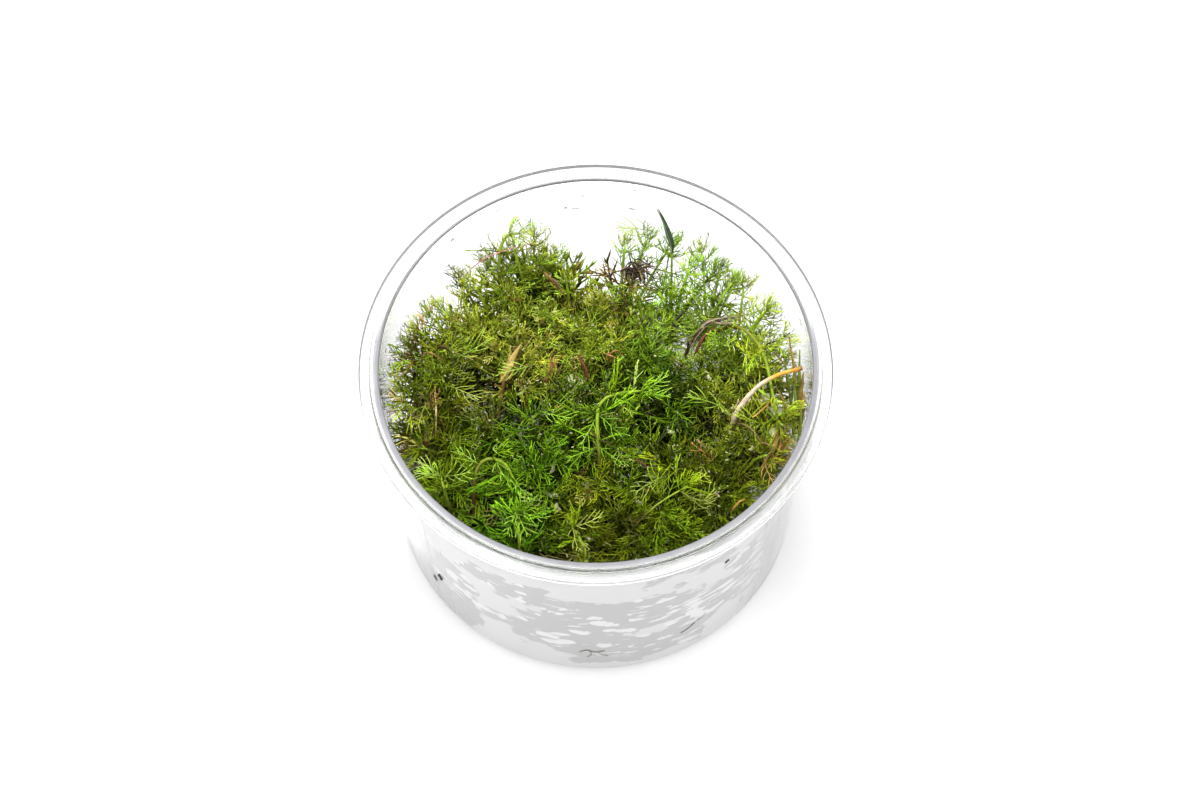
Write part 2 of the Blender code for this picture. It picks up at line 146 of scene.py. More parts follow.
# Floor and light
FLOOR_SIZE = 4.0
MOUTH_PLACE = Vector((-0.10, 0.16, 0.75))
MOUTH_POWER = 60.0
MOUTH_RADIUS = 44.0 * MM
FLOOR_GLOW = 0.34
WORLD_LIGHT = ((0.50, 0.30), (0.53, 0.26), (0.62, 0.50), (0.78, 0.92))
KEY_PLACE, KEY_SIZE, KEY_POWER = Vector((-0.06, 0.20, 0.75)), 0.40, 2.6
FLOOR_COLOUR = (0.92, 0.92, 0.92, 1.0)

# Kinds of leaf: true length, pairs of side threads, their reach and the thread's thickness
LEAF_FORMS = {
    "full": (8.8 * MM, (4, 4, 5), 0.54, 0.235 * MM),
    "open": (7.2 * MM, (3, 4), 0.54, 0.205 * MM),
    "thread": (9.0 * MM, (2, 2), 0.30, 0.28 * MM),
    "tip": (5.0 * MM, (3, 3, 4), 0.54, 0.215 * MM),
    "low": (9.0 * MM, (3, 3), 0.45, 0.50 * MM),
}
THREAD_SHARE = 0.12
LOW_DEPTH = 13.0 * MM
LOW_PITCH = 5.6 * MM
KINDS_OF_EACH = 6
WHORL_PITCH = (5.0 * MM, 5.2 * MM)
BARE_FOOT = (4.0 * MM, 12.0 * MM)
# The young whorls at a tip: how far below it, how many leaves, their length, lean in degrees
# and form, for dense growth and for open growth
TIP_WHORLS = (
    (
        (0.2 * MM, 2, 3 * MM, 20, "tip"), (0.8 * MM, 4, 5.4 * MM, 56, "tip"),
        (2.8 * MM, 4, 7.4 * MM, 74, "full"),
    ),
    (
        (0.2 * MM, 3, 2.4 * MM, 20, "tip"), (0.8 * MM, 5, 3.6 * MM, 50, "tip"),
        (2.8 * MM, 5, 4.2 * MM, 68, "tip"),
    ),
)
TIP_REACH = 7.5 * MM
BRANCHES = (1, 3)
STEM_RADIUS = (0.52 * MM, 0.30 * MM)
WALL_ROOM = 0.25 * MM
TOP_ROOM = 0.8 * MM

# Places in the cup in millimetres, with the leaf colour there and how open the growth is
ZONES = (
    ((-38, 2), (0.25, 0.33, 0.008), 0.15), ((-35, -18), (0.24, 0.33, 0.010), 0.05),
    ((-20, -22), (0.13, 0.31, 0.006), 0.00), ((2, -32), (0.20, 0.26, 0.006), 0.00),
    ((26, -22), (0.20, 0.31, 0.006), 0.10), ((41, -2), (0.46, 0.50, 0.030), 0.40),
    ((21, 26), (0.35, 0.51, 0.030), 0.90), ((35, 22), (0.38, 0.51, 0.030), 1.00),
    ((-6, 20), (0.44, 0.53, 0.045), 0.55), ((5, -4), (0.14, 0.27, 0.004), 0.10),
    ((-20, 34), (0.36, 0.51, 0.040), 0.76), ((-32, 22), (0.41, 0.51, 0.040), 0.66),
)
ZONE_REACH = 10.0
# Small pale specks below the canopy top: partly gel crumbs, partly painted glints between the threads
SPECKS = 1300
SPECK_DEPTHS = (1.5 * MM, 8.0 * MM)
# Larger flakes of gel: x, y, z and half length in millimetres
FLAKES = (
    (-5.5, 3.8, 45.5, 1.3), (-3.6, 4.4, 44.5, 1), (-9.3, -16, 44.5, 1.1), (-9.5, -22.5, 44.5, 1.2),
    (-8, -25, 44, 1), (-1, -32, 43, 0.9), (38.8, -3.2, 45.5, 1.9), (36.6, 0.6, 43, 1.8),
    (42, -10.7, 45, 1.6), (35.4, 4, 43.5, 1.4), (37.6, -7.5, 43.5, 1.6), (33, -12, 44, 0.8),
    (26, -22, 43.5, 0.8), (9, -24, 44, 0.8), (16, -8, 45, 0.9), (30, 20, 44, 1), (24, 5, 44.5, 0.8),
)
# Bits on the outside of the wall: angles from the front in degrees with heights in millimetres,
# half thickness in millimetres and colour
WALL_MARKS = (
    (((-49.4, 18.4), (-48.8, 17.6), (-48.2, 17)), 0.24, (0.08, 0.07, 0.07)),
    (((-52.4, 13.6), (-51.8, 12.9), (-51.2, 12.4)), 0.15, (0.14, 0.13, 0.12)),
    (((36.4, 40.8), (37, 41.2), (37.6, 41.4)), 0.18, (0.12, 0.10, 0.10)),
    (((24.4, 12.6), (26.4, 13.5), (28.6, 15.2)), 0.09, (0.20, 0.19, 0.18)),
    (((29.4, 15.6), (30.8, 16.2), (32, 17.4)), 0.06, (0.26, 0.25, 0.24)),
    (((-4.6, 11), (-2.4, 12.4), (-0.4, 11.2), (2.4, 12)), 0.09, (0.30, 0.28, 0.22)),
    (((-2, 12.2), (-1.2, 9.8), (-2.4, 8.4)), 0.08, (0.34, 0.32, 0.26)),
    (((0.4, 11.4), (1.8, 9.6), (3.4, 9)), 0.07, (0.34, 0.32, 0.26)),
)
DROPS = 70
DROP_HEIGHTS = (24.0 * MM, 57.0 * MM)
DROP_GAP = 0.02 * MM
DROP_SIZES = ((0.10, 0.25, 0.20), (0.22, 0.90, 0.60))
TANGLE_THREADS, TANGLE_KNOTS = 70, 7
TORN_FIBRES = 7
TAN_LEAVES, BROWN_LEAVES, TORN_LEAVES = 11, 8, 5
TANGLE_COLOURS = ((0.16, 0.10, 0.04), (0.07, 0.045, 0.02), (0.30, 0.24, 0.10), (0.03, 0.02, 0.012))
# Dead bits: their places in millimetres, half width, half thickness and colour
PINK, TAN, BROWN, RED, BLACK = (
    (0.72, 0.30, 0.33), (0.50, 0.36, 0.14), (0.20, 0.10, 0.03), (0.12, 0.03, 0.015), (0.02, 0.018, 0.008)
)
SPIKE_BROWN, SPIKE_GREEN = (0.26, 0.17, 0.04), (0.12, 0.17, 0.02)
DRY_BITS = (
    (((-29.5, 28, 47.5), (-23.4, 32.4, 49.5), (-12.5, 36, 50)), 0.16, 0.13, PINK),
    (((-39.6, 13, 47), (-37.5, 17.5, 49), (-34, 22, 49)), 0.14, 0.12, (0.45, 0.22, 0.12)),
    (((36, 10.2, 50), (39, 10.8, 51), (41.6, 12.4, 51.5)), 0.26, 0.22, BLACK),
    (((16, 14.9, 46), (17.4, 17.6, 48), (20.2, 20.4, 48.2)), 0.50, 0.30, BLACK),
    (((15, 16, 45.5), (16.6, 15.6, 47.6), (18.4, 17, 47.2)), 0.35, 0.25, BLACK),
    (((43, -5, 42), (42.6, 3, 48.5), (41.3, 11.6, 52)), 0.55, 0.25, SPIKE_BROWN),
    (((43.2, -5, 42), (43.4, 2, 48.5), (43.6, 8.3, 51.5)), 0.50, 0.25, SPIKE_GREEN),
    (((43.2, -6, 42), (43.8, 0, 47.5), (44.4, 3.8, 50)), 0.50, 0.25, SPIKE_BROWN),
    (((42.4, -6, 42), (41.2, 2, 48), (39.9, 8, 51)), 0.50, 0.25, SPIKE_GREEN),
    (((43.4, -8, 42), (44, -4, 47), (44.4, -1, 49.5)), 0.60, 0.25, SPIKE_BROWN),
    (((42, -9, 42), (42.6, -4, 47), (42.2, 2, 50)), 0.60, 0.25, SPIKE_GREEN),
    (((41.6, -3, 44), (42.2, 2, 48), (42.6, 6, 50.5)), 0.40, 0.20, SPIKE_GREEN),
    (((40.8, -7, 44), (40.2, -3, 48), (38.4, 0.6, 49)), 0.40, 0.20, SPIKE_BROWN),
    (((43, -11, 44), (43.6, -7, 47.5), (43.4, -3, 49)), 0.45, 0.20, SPIKE_GREEN),
    (((40, 0, 45), (38.6, 4, 49), (36.4, 5.6, 49.5)), 0.36, 0.20, SPIKE_GREEN),
    (((41, 1, 45), (40.6, 5, 49.4), (38.4, 8, 50.4)), 0.36, 0.20, SPIKE_BROWN),
    (((-3.8, 9.2, 47.5), (-2.8, 6.4, 49), (-1.6, 3.2, 47)), 0.80, 0.25, RED),
    (((2, 7.6, 48), (4, 9.2, 49.2), (6, 8.8, 48)), 0.35, 0.20, (0.26, 0.11, 0.03)),
    (((1, 9.4, 48), (3, 8, 49.4), (5.2, 7.4, 48.4)), 0.25, 0.18, (0.30, 0.15, 0.05)),
    (((-11.4, 29.6, 48), (-10.4, 27.2, 50), (-8.2, 25.2, 48)), 0.65, 0.30, BROWN),
    (((-10.8, 27.4, 47), (-9, 26.4, 49.6), (-6.6, 23.2, 47.6)), 0.50, 0.30, (0.14, 0.09, 0.03)),
    (((-35, 9.6, 47.6), (-33, 10.2, 49.4), (-30.8, 9.2, 48)), 0.55, 0.25, (0.10, 0.05, 0.02)),
    (((-38, 7.4, 47), (-36, 8.6, 49.6), (-32.6, 7.4, 48)), 0.35, 0.20, (0.40, 0.20, 0.08)),
    (((-34.2, -9.5, 44), (-34, -5, 48.4), (-34.3, -1, 49.5)), 0.26, 0.22, TAN),
    (((21.2, 9.4, 47), (23, 12, 49.8), (25.6, 14.8, 49.8)), 0.42, 0.30, (0.13, 0.035, 0.02)),
    (((29.6, -7, 47), (32.5, -9.2, 49), (35.6, -12.6, 47)), 0.90, 0.25, (0.20, 0.15, 0.045)),
    (((33.5, -12, 46), (36.5, -13, 48.4), (38, -17, 46)), 0.60, 0.25, (0.26, 0.17, 0.05)),
    (((38.8, -9, 47), (37.6, -13.6, 48.6), (34.6, -18.6, 47)), 0.70, 0.22, (0.20, 0.12, 0.02)),
    (((39.6, -10, 46), (38.8, -14, 47.6), (36.2, -18, 46.6)), 0.50, 0.20, (0.30, 0.18, 0.03)),
    (((28.4, -27.6, 46), (30, -26, 47.4), (31.4, -24.8, 46.6)), 0.40, 0.20, (0.45, 0.24, 0.05)),
    (((7.6, -15.6, 47.4), (9.6, -17, 48.2), (11.4, -18.4, 47.6)), 0.22, 0.15, RED),
)
TAN_TINTS = ((0.28, 0.17, 0.035), (0.42, 0.26, 0.06), (0.14, 0.12, 0.02), (0.46, 0.33, 0.10))
BROWN_TINTS = ((0.16, 0.07, 0.02), (0.28, 0.11, 0.03), (0.34, 0.17, 0.06), (0.10, 0.06, 0.02))
DEAD_TINTS = ((0.26, 0.21, 0.12), (0.14, 0.09, 0.05), (0.05, 0.03, 0.02), (0.36, 0.30, 0.18))
DEAD_FIBRES = 9
# The dead stem's line in millimetres, how far its fibres part there and how thick they are
DEAD_STEM_LINE = (
    ((20.2, 13.2, 44.5), 0.5, 1), ((22, 14.2, 48.2), 0.7, 1.1), ((24.6, 16.4, 49.2), 0.4, 0.9),
    ((27.6, 16.2, 49.8), 0.9, 0.9), ((30.8, 16.8, 49.6), 1.5, 0.2),
)
# Shoots whose stems show: how stout and how light the stem is, and the share of leaves kept
SHOW_STEMS = {
    "shoot_23": (1.0, 1.2, 0.6),
    "shoot_24": (1.0, 1.0, 0.6),
}
# Curved stems that show above the leaves: places in millimetres, then as in SHOW_STEMS
ARCHES = (
    (
        ((26, 17, 43), (29.5, 16, 48), (33, 13, 50), (36, 7.5, 50.3), (37.4, 0.5, 49.3),
         (38.6, -6, 46.5), (38.8, -9, 40)),
        0.90, 0.95, 0.40,
    ),
    (
        ((1, -17.5, 41), (0.6, -12.5, 47), (0.3, -7.5, 49.4), (1, -4, 50.2), (4, -2, 50.5),
         (10.6, -0.8, 50)),
        1.00, 0.72, 0.60,
    ),
    (
        ((-25.6, -27, 42), (-25.6, -22, 47.5), (-24.6, -18.4, 49.6), (-22, -17, 50),
         (-19, -18.2, 49.4), (-17, -21.5, 47.5)),
        1.00, 0.72, 0.60,
    ),
    (((-16.2, -38, 40), (-16, -34, 45), (-16.6, -28.6, 48)), 0.95, 1.1, 1),
    (((-1.5, -39, 38), (-2.4, -35.5, 44.5), (-5, -31.7, 47.6)), 0.90, 1.1, 0.9),
    (((-30, -27, 40), (-31.5, -24, 46), (-32.6, -20.6, 48.4)), 0.9, 1, 1),
    (((8, -30, 44), (13, -26.5, 47.5), (20, -22, 48)), 0.50, 1.1, 0.8),
    (((-21, 27, 40), (-21, 33, 48.5), (-19.5, 36.3, 51.5), (-16, 36.8, 52.2)), 0.9, 0.80, 1),
)
# Leaves shown one by one: place and heading in millimetres, length, form and colour
SHOWN_LEAVES = (
    ((0.2, -13.4, 48.4), (-1, -0.35, -0.1), 7, "open", (0.17, 0.36, 0.02)),
    ((0.6, -13.4, 48.4), (0.8, -0.8, -0.1), 6.5, "open", (0.17, 0.36, 0.02)),
    ((-0.2, -7.4, 49.4), (-0.6, -1, -0.1), 7.5, "open", (0.20, 0.40, 0.03)),
    ((0.6, -6.4, 49.4), (0.8, -1, -0.1), 7.5, "open", (0.18, 0.38, 0.03)),
    ((4.2, -2.2, 50.2), (0.5, -1, 0), 6, "open", (0.32, 0.52, 0.05)),
    ((9.8, -0.8, 49.8), (1, 0.4, 0.1), 6.5, "full", (0.32, 0.56, 0.05)),
    ((9.8, -0.8, 49.8), (1, -0.5, 0.1), 6.5, "full", (0.32, 0.56, 0.05)),
    ((-17, -21, 48), (0.5, -1, -0.1), 6, "full", (0.32, 0.56, 0.05)),
    ((-24.4, -18.2, 49.4), (-0.8, 0.6, 0.1), 6, "full", (0.36, 0.58, 0.06)),
    ((-21, -17, 49.8), (0.3, -1, -0.1), 6.5, "open", (0.34, 0.58, 0.06)),
    ((-14, 6, 48.5), (-1, -0.3, 0.1), 8, "full", (0.28, 0.46, 0.05)),
    ((-12, -5, 48.5), (1, -0.5, 0.1), 8, "full", (0.22, 0.42, 0.03)),
    ((14, -20, 47.5), (-1, -0.6, 0.1), 8, "full", (0.26, 0.36, 0.06)),
    ((27, -4, 48.5), (-1, 0.4, 0.1), 8, "full", (0.24, 0.38, 0.04)),
    ((20, -28, 46.5), (0.9, 0.7, 0.1), 7.5, "full", (0.34, 0.42, 0.06)),
    ((-31, 1, 48.5), (1, -0.7, 0.1), 8.5, "full", (0.34, 0.40, 0.07)),
    ((-36, -3, 48.5), (-0.4, -1, 0.1), 7.5, "full", (0.32, 0.36, 0.07)),
    ((-30, 8, 48.5), (0.9, 0.3, 0.1), 8.5, "full", (0.30, 0.46, 0.06)),
    ((12.5, 38.5, 50), (-1, 0.15, 0.1), 8.5, "full", (0.34, 0.44, 0.11)),
    ((12, 38, 49.5), (-0.9, -0.35, 0.1), 6.5, "full", (0.34, 0.44, 0.12)),
    ((-16.6, -28.4, 48.4), (-0.45, -1, 0.1), 7, "full", (0.34, 0.58, 0.06)),
    ((-16.4, -28.4, 48.4), (0.2, -1, 0.1), 7.5, "full", (0.30, 0.54, 0.05)),
    ((-16.2, -28.2, 48.4), (0.9, -0.6, 0.1), 7, "full", (0.28, 0.52, 0.04)),
    ((-5, -31.8, 48), (1, 0.05, 0.2), 7, "open", (0.44, 0.50, 0.10)),
    ((-5, -31.8, 48), (0.1, -1, 0.1), 6.5, "open", (0.42, 0.48, 0.09)),
    ((-32.6, -20.4, 48.6), (-0.8, 0.6, 0.2), 6, "full", (0.52, 0.70, 0.16)),
    ((-32.6, -20.4, 48.6), (-1, 0.1, 0.2), 6, "full", (0.52, 0.70, 0.16)),
    ((-32.4, -20.4, 48.6), (1, -0.1, 0.1), 6.5, "full", (0.46, 0.68, 0.10)),
)
# Painted shade that darkens leaves and stems below the canopy top, in place of the shade of the leaves
# above, and painted light that lifts them near the wall
CANOPY_TOP = 49.0 * MM
CANOPY_SLOPE = 0.08
CANOPY_FADE = (6.0 * MM, 16.0 * MM)
LEAST_DEPTH_SHADE = (0.035, 0.38)
WALL_LIGHT = (33.0 * MM, 43.0 * MM)
WALL_SHADE = 0.16
LEAST_STEM_SHADE = 0.24
# Painted shade at the foot of each leaf, painted light towards its tip, and a pale painted highlight at
# the tip
LEAF_BASE_SHADE = 0.60
LEAF_TIP_LIGHT = 1.65
LEAF_TIP_HIGHLIGHT = (0.14, 0.17, 0.025)
UNDERGROWTH = (2, 1)
# Nothing tall grows in the notch at the back
NOTCH = (-1.5 * MM, 26.0 * MM)
NOTCH_HALF = 6.5 * MM
CROWN_PLACES = 130
CROWN_REACH = 42.0 * MM
CROWN_ROOM = 4.6 * MM
CROWN_BACK = 25.0 * MM
# How much lighter the crown of the main stem and of a side stem is
CROWN_LIGHT = (1.1, 0.9)
GAP_TIPS = (
    (-23, -6, 45), (-15, 3, 45), (-7, -4, 45), (-3, 4, 45), (14, 5, 46), (24, -20, 43), (17, -12, 44),
    (30, -10, 44), (20, 8, 46), (-10, 14, 46), (0, 24, 46), (-23, 6, 30), (-9, 9, 29), (27, -6, 32),
    (-28, -8, 34), (4, 12, 32), (-42, 2, 47), (-42, -8, 46), (-41, 13, 47), (42.5, 3, 47), (42, -9, 46),
    (41, 8, 48), (-30, 30, 46), (-24, 32, 46), (-12, 33, 45),
)
UNDERGROWTH_TOP = (16.0 * MM, 30.0 * MM)
LEAF_SPREAD = (0.38, 1.6)
PALE_SHARE = 0.08
PALE_GREEN = (0.52, 0.60, 0.20)
WITHERED_SHARE = 0.015
WITHERED = ((0.36, 0.20, 0.05), (0.50, 0.34, 0.10), (0.22, 0.10, 0.03), (0.42, 0.36, 0.10))
# Where leaves have browned: x, y, reach in millimetres and the share of them
BROWN_PLACES = (
    (-39, -10, 6, 0.45), (-42, 8, 6, 0.25), (43, -1, 4, 0.45), (40, -12, 5, 0.30), (-21, 8, 6, 0.20),
    (-8, 6, 5, 0.30), (28, -12, 8, 0.15), (-34, 12, 5, 0.20), (8, 30, 4, 0.30), (-8, 24, 4, 0.25),
)
# Where few leaves grow: x, y, reach in millimetres and the share that is left
BARE_PLACES = (
    (36.5, 1, 4.5, 0.25), (37.5, -8.5, 3.5, 0.35), (-4.5, 3.8, 3, 0.20), (-9.3, -20, 3, 0.35),
)
STEM_COLOUR = (0.26, 0.38, 0.03)
STEM_BROWN = (0.13, 0.06, 0.02)

# The threads of a leaf of unit length: stops along the rachis and a thread, and how they thin
RACHIS_STOPS, RACHIS_TAPER = (0.0, 0.3, 0.6, 0.88, 1.0), (1.25, 1.15, 1.0, 0.85)
RACHIS_WAVE = 5
THREAD_STOPS, LOW_THREAD_STOPS, THREAD_TAPER = (0.0, 0.5, 0.88, 1.0), (0.0, 0.6, 1.0), (1.0, 0.95, 0.75)
THREAD_START, THREAD_RANGE = 0.15, 0.70
THREAD_SIZES, THREAD_SPREAD = (0.7, 1.25), (36, 56)
# Growth is dense where openness is below the first, and has low leaves where it is below the second
OPEN_FROM, LOW_OPENNESS = 0.35, 0.8
WHORL_COUNT, LOW_COUNT = 4, 5
WHORL_LEAN = 74
LEAF_FOOT = 0.25 * MM
LEAST_CURL = 0.003
HUE_SPREAD = (0.8, 1.2)
BARE_POWER = 4
SHOWN_BEND = {"curl": 0.3, "fold": 0.1, "sway": 0.15}
# Steps a quarter and half of the way along a stem's line, where its place is compared
LOW_STEP, HIGH_STEP = 6, 12
STEM_RINGS = 16
RIBBON_STEPS = 6
# How stout side stems and low stems are, and the length at their foot that bears no leaves
BRANCH_STOUT, BRANCH_BARE = 0.75, 3 * MM
RUNNER_STOUT, RUNNER_BARE = 0.8, 2 * MM
ARCH_LIGHT = 1.1
# The starts of the runs of random numbers
LEAF_SEED, GEL_SEED, SPECK_SEED, DROP_SEED, STRAY_SEED, CROWN_SEED, SHOOT_SEED = 3, 5, 11, 17, 21, 31, 1000

# The film of dried gel on the wall: where each of its parts starts, and where it is full
FILM_FRONT = (-18 * MM, -36 * MM)
FILM_TOP = (57.5 * MM, 52 * MM)
FILM_BASE = (0.5 * MM, 2 * MM)
FILM_MIDDLE, FILM_HALF = 26 * MM, 34 * MM
FILM_EDGE = (0.36, 0.385)
LOBE_EDGE = (0.37, 0.31)
LOBE_FOOT = (6 * MM, 13 * MM)
STREAK_EDGE = (0.60, 0.64)
STREAK_RIGHT = (4 * MM, 16 * MM)
FILM_GREYS = ((0.62, 0.62, 0.63), (0.53, 0.53, 0.52))
FILM_WHITE, FILM_THIN, CLEAR = (0.90, 0.90, 0.91), (0.80, 0.80, 0.81), (0.985, 0.99, 0.992)
# Painted grey bands on the front of the lip's inner part, and painted grey lines at the edges of the
# flange and the mouth, all standing in for the dark lines that refraction shows at the rim
LIP_TOP = (59.3 * MM, 59.7 * MM)
LIP_FRONT = (28 * MM, 2 * MM)
PAINTED_LIP_BAND = (LAND_OUTER - 0.35 * MM, LAND_OUTER - 0.75 * MM)
RIM_EDGE = (49.5 * MM, 49.75 * MM)
RIM_FRONT = (-25 * MM, 0.0)
INNER_EDGE = (LAND_INNER + 0.55 * MM, LAND_INNER + 0.35 * MM)
INNER_TOP = (58.9 * MM, 59.3 * MM)
PAINTED_LIP_GREYS = ((0.35, (0.17, 0.17, 0.19)), (0.65, (0.27, 0.27, 0.29)))
PAINTED_EDGE_GREY = (0.24, 0.24, 0.26)
FILM_CLOUD, LIP_CLOUD, EDGE_CLOUD = 0.86, 0.75, 0.6
GEL_IOR = 1.34
# Sockets of the colour mix node
MIX_FACTOR, MIX_FIRST, MIX_SECOND, MIX_RESULT = 0, 6, 7, 2


def inner_radius(height):
    """Radius of the cup's inner wall, which widens evenly to the lip."""
    share = (height - FLOOR) / (CUP_HEIGHT - FLOOR)
    foot = FOOT_RADIUS - WALL
    return foot + (LAND_INNER - foot) * share


def gel_height(x, y):
    """Height of the gel's top, which waves a little and climbs at the wall."""
    wave = math.sin(x / GEL_WAVE_X) * math.cos(y / GEL_WAVE_Y)
    share = math.hypot(x, y) / inner_radius(GEL_TOP)
    calm = 1 - share**GEL_CALM_POWER
    return GEL_TOP + GEL_WAVE * wave * calm + GEL_MENISCUS * share**GEL_MENISCUS_POWER


class Stem:
    """The middle line of a shoot, through close points."""

    def __init__(self, points, turn):
        self.points = points
        self.turn = turn
        self.lengths = [0.0]
        for before, after in zip(points, points[1:]):
            self.lengths.append(self.lengths[-1] + (after - before).length)
        self.length = self.lengths[-1]

    def at(self, along):
        """The point at a length along the stem."""
        for index in range(1, len(self.points)):
            if along <= self.lengths[index] or index == len(self.points) - 1:
                step = self.lengths[index] - self.lengths[index - 1]
                share = (along - self.lengths[index - 1]) / step
                return self.points[index - 1].lerp(self.points[index], share)

    def frame(self, along):
        """Direction of the stem there, and two directions across it."""
        reach = 0.5 * MM
        ahead = self.at(min(along + reach, self.length)) - self.at(max(along - reach, 0.0))
        ahead.normalize()
        side = Vector((math.cos(self.turn), math.sin(self.turn), 0.0))
        across = (side - ahead * side.dot(ahead)).normalized()
        return ahead, across, ahead.cross(across)


def rising(root, tip, turn, lean=RISE_LEAN, height=RISE_HEIGHT):
    """A stem that rises over its root and then leans to its tip."""
    over_root = root.lerp(tip, lean)
    over_root.z = root.z + (tip.z - root.z) * height
    points = []
    for step in range(STEM_STEPS + 1):
        share = step / STEM_STEPS
        points.append(root.lerp(over_root, share).lerp(over_root.lerp(tip, share), share))
    return Stem(points, turn)


def stem_from(root_x, root_y, tip, turn):
    """A stem whose foot is just above the gel."""
    root = Vector((root_x, root_y, gel_height(root_x, root_y) + GAP + SLOPE_GAP))
    return rising(root, tip, turn)


def room_round(stem, taken, every=1):
    """Least free distance from a stem to the points already taken, less their half widths."""
    own_points = stem.points[::every]
    rooms = [(own - point).length - half for point, half in taken for own in own_points]
    return min(rooms)


def taken_by_strays():
    """Points along the strays, each with the stray's half width there."""
    taken = []
    for points in STRAYS.values():
        for before, after in zip(points, points[1:]):
            for step in range(STRAY_KEEP_OUT_STEPS + 1):
                share = step / STRAY_KEEP_OUT_STEPS
                point = Vector(before[:3]).lerp(Vector(after[:3]), share) * MM
                taken.append((point, max(before[3], after[3]) * MM))
    return taken


def wall_stems():
    """Root x, y and tip of each listed stem."""
    for x, y, z in WALL_TIPS:
        yield x * ROOT_SHARE * MM, y * ROOT_SHARE * MM, Vector((x, y, z)) * MM
    for root_x, root_y, x, y, z in LEANING:
        yield root_x * MM, root_y * MM, Vector((x, y, z)) * MM


def nudged_stem(root_x, root_y, tip, turn, taken):
    """The stem asked for, its root moved in a widening spiral until it meets nothing."""
    for step in range(STEM_TRIES):
        angle = GOLDEN_ANGLE * step
        reach = STEM_NUDGE * step
        moved = (root_x + reach * math.cos(angle), root_y + reach * math.sin(angle))
        stem = stem_from(*moved, tip, turn)
        if room_round(stem, taken) > STEM_CLEARANCE:
            break
    return stem


def fill_stem(turn, rng, taken):
    """The roomiest of several stems at random places."""
    best = None
    for _ in range(FILL_TRIES):
        radius = FILL_RADIUS * math.sqrt(rng.random())
        angle = rng.uniform(0, math.tau)
        x, y = radius * math.cos(angle), radius * math.sin(angle)
        lean_x, lean_y = (rng.uniform(-FILL_LEAN, FILL_LEAN) for _ in range(2))
        stem = stem_from(x, y, Vector((x + lean_x, y + lean_y, rng.uniform(*FILL_TOP))), turn)
        room = room_round(stem, taken, FILL_LOOK_EVERY)
        if best is None or room > best[0]:
            best = (room, stem)
    return best[1]


def make_stems(rng):
    """All the stems: those listed, then those that fill the cup."""
    taken = taken_by_strays()
    stems = []

    def keep(stem):
        stems.append(stem)
        taken.extend((point, STEM_BASE_HALF) for point in stem.points)

    for root_x, root_y, tip in wall_stems():
        keep(nudged_stem(root_x, root_y, tip, GOLDEN_ANGLE * len(stems), taken))
    for _ in range(FILL_COUNT):
        keep(fill_stem(GOLDEN_ANGLE * len(stems), rng, taken))
    return stems


def ring_faces(rings, sides, start=0):
    """Triangles between rings of points that follow each other."""
    faces = []
    for ring in range(rings - 1):
        low, high = start + ring * sides, start + (ring + 1) * sides
        for side in range(sides):
            following = (side + 1) % sides
            faces.append((low + side, low + following, high + following))
            faces.append((low + side, high + following, high + side))
    return faces


def closed_faces(rings, sides, start, bottom, top):
    """Triangles of a closed surface of rings, with a point at its bottom and at its top."""
    faces = ring_faces(rings, sides, start)
    last = start + (rings - 1) * sides
    for side in range(sides):
        following = (side + 1) % sides
        faces.append((bottom, start + following, start + side))
        faces.append((top, last + side, last + following))
    return np.array(faces)


def joined(parts):
    """Parts put together: all points, all triangles, and what each point carries."""
    points, faces, carried = zip(*parts)
    starts = np.cumsum([0] + [len(rows) for rows in points[:-1]])
    faces = [rows + start for rows, start in zip(faces, starts)]
    return np.concatenate(points), np.concatenate(faces), np.concatenate(carried)


def make_piece(parts, name, material, smooth=True):
    """An object made of parts, each with its points, its triangles and the points' colours."""
    points, faces, colours = joined(parts)
    mesh = bpy.data.meshes.new(name)
    mesh.vertices.add(len(points))
    mesh.vertices.foreach_set("co", points.astype(np.float32).ravel())
    mesh.loops.add(faces.size)
    mesh.loops.foreach_set("vertex_index", faces.astype(np.int32).ravel())
    mesh.polygons.add(len(faces))
    mesh.polygons.foreach_set("loop_start", np.arange(0, faces.size, 3, dtype=np.int32))
    mesh.update(calc_edges=True)
    mesh.validate()
    layer = mesh.color_attributes.new("tint", "FLOAT_COLOR", "POINT")
    full = np.ones((len(points), 4), np.float32)
    full[:, :3] = colours
    layer.data.foreach_set("color", full.ravel())
    if smooth:
        mesh.shade_smooth()
    mesh.materials.append(material)
    piece = bpy.data.objects.new(name, mesh)
    bpy.context.scene.collection.objects.link(piece)
    return piece


def axes_across(line, facing):
    """Two directions across a line, at each of its points."""
    ahead = np.gradient(line, axis=0)
    ahead /= np.linalg.norm(ahead, axis=1)[:, None]
    across = np.cross(facing, ahead)
    across /= np.linalg.norm(across, axis=1)[:, None]
    return across[:, None, :], np.cross(ahead, across)[:, None, :]


def tube(points, radii, sides, facing=(0.0, 0.0, 1.0)):
    """A closed tube that ends in a point: corners, triangles and each corner's share along."""
    points = np.asarray(points, float)
    across, over = axes_across(points, np.array(facing))
    rings = len(points) - 1
    angles = (math.tau * np.arange(sides) / sides)[:, None]
    reach = np.cos(angles) * across[:rings] + np.sin(angles) * over[:rings]
    corners = points[:rings, None, :] + reach * np.array(radii)[:rings, None, None]
    shares = np.append(np.repeat(np.arange(rings) / rings, sides), 1.0)
    last = (rings - 1) * sides
    faces = [(0, side + 1, side) for side in range(1, sides - 1)] + ring_faces(rings, sides)
    faces += [(last + side, last + (side + 1) % sides, rings * sides) for side in range(sides)]
    return np.concatenate((corners.reshape(-1, 3), points[-1:])), np.array(faces), shares


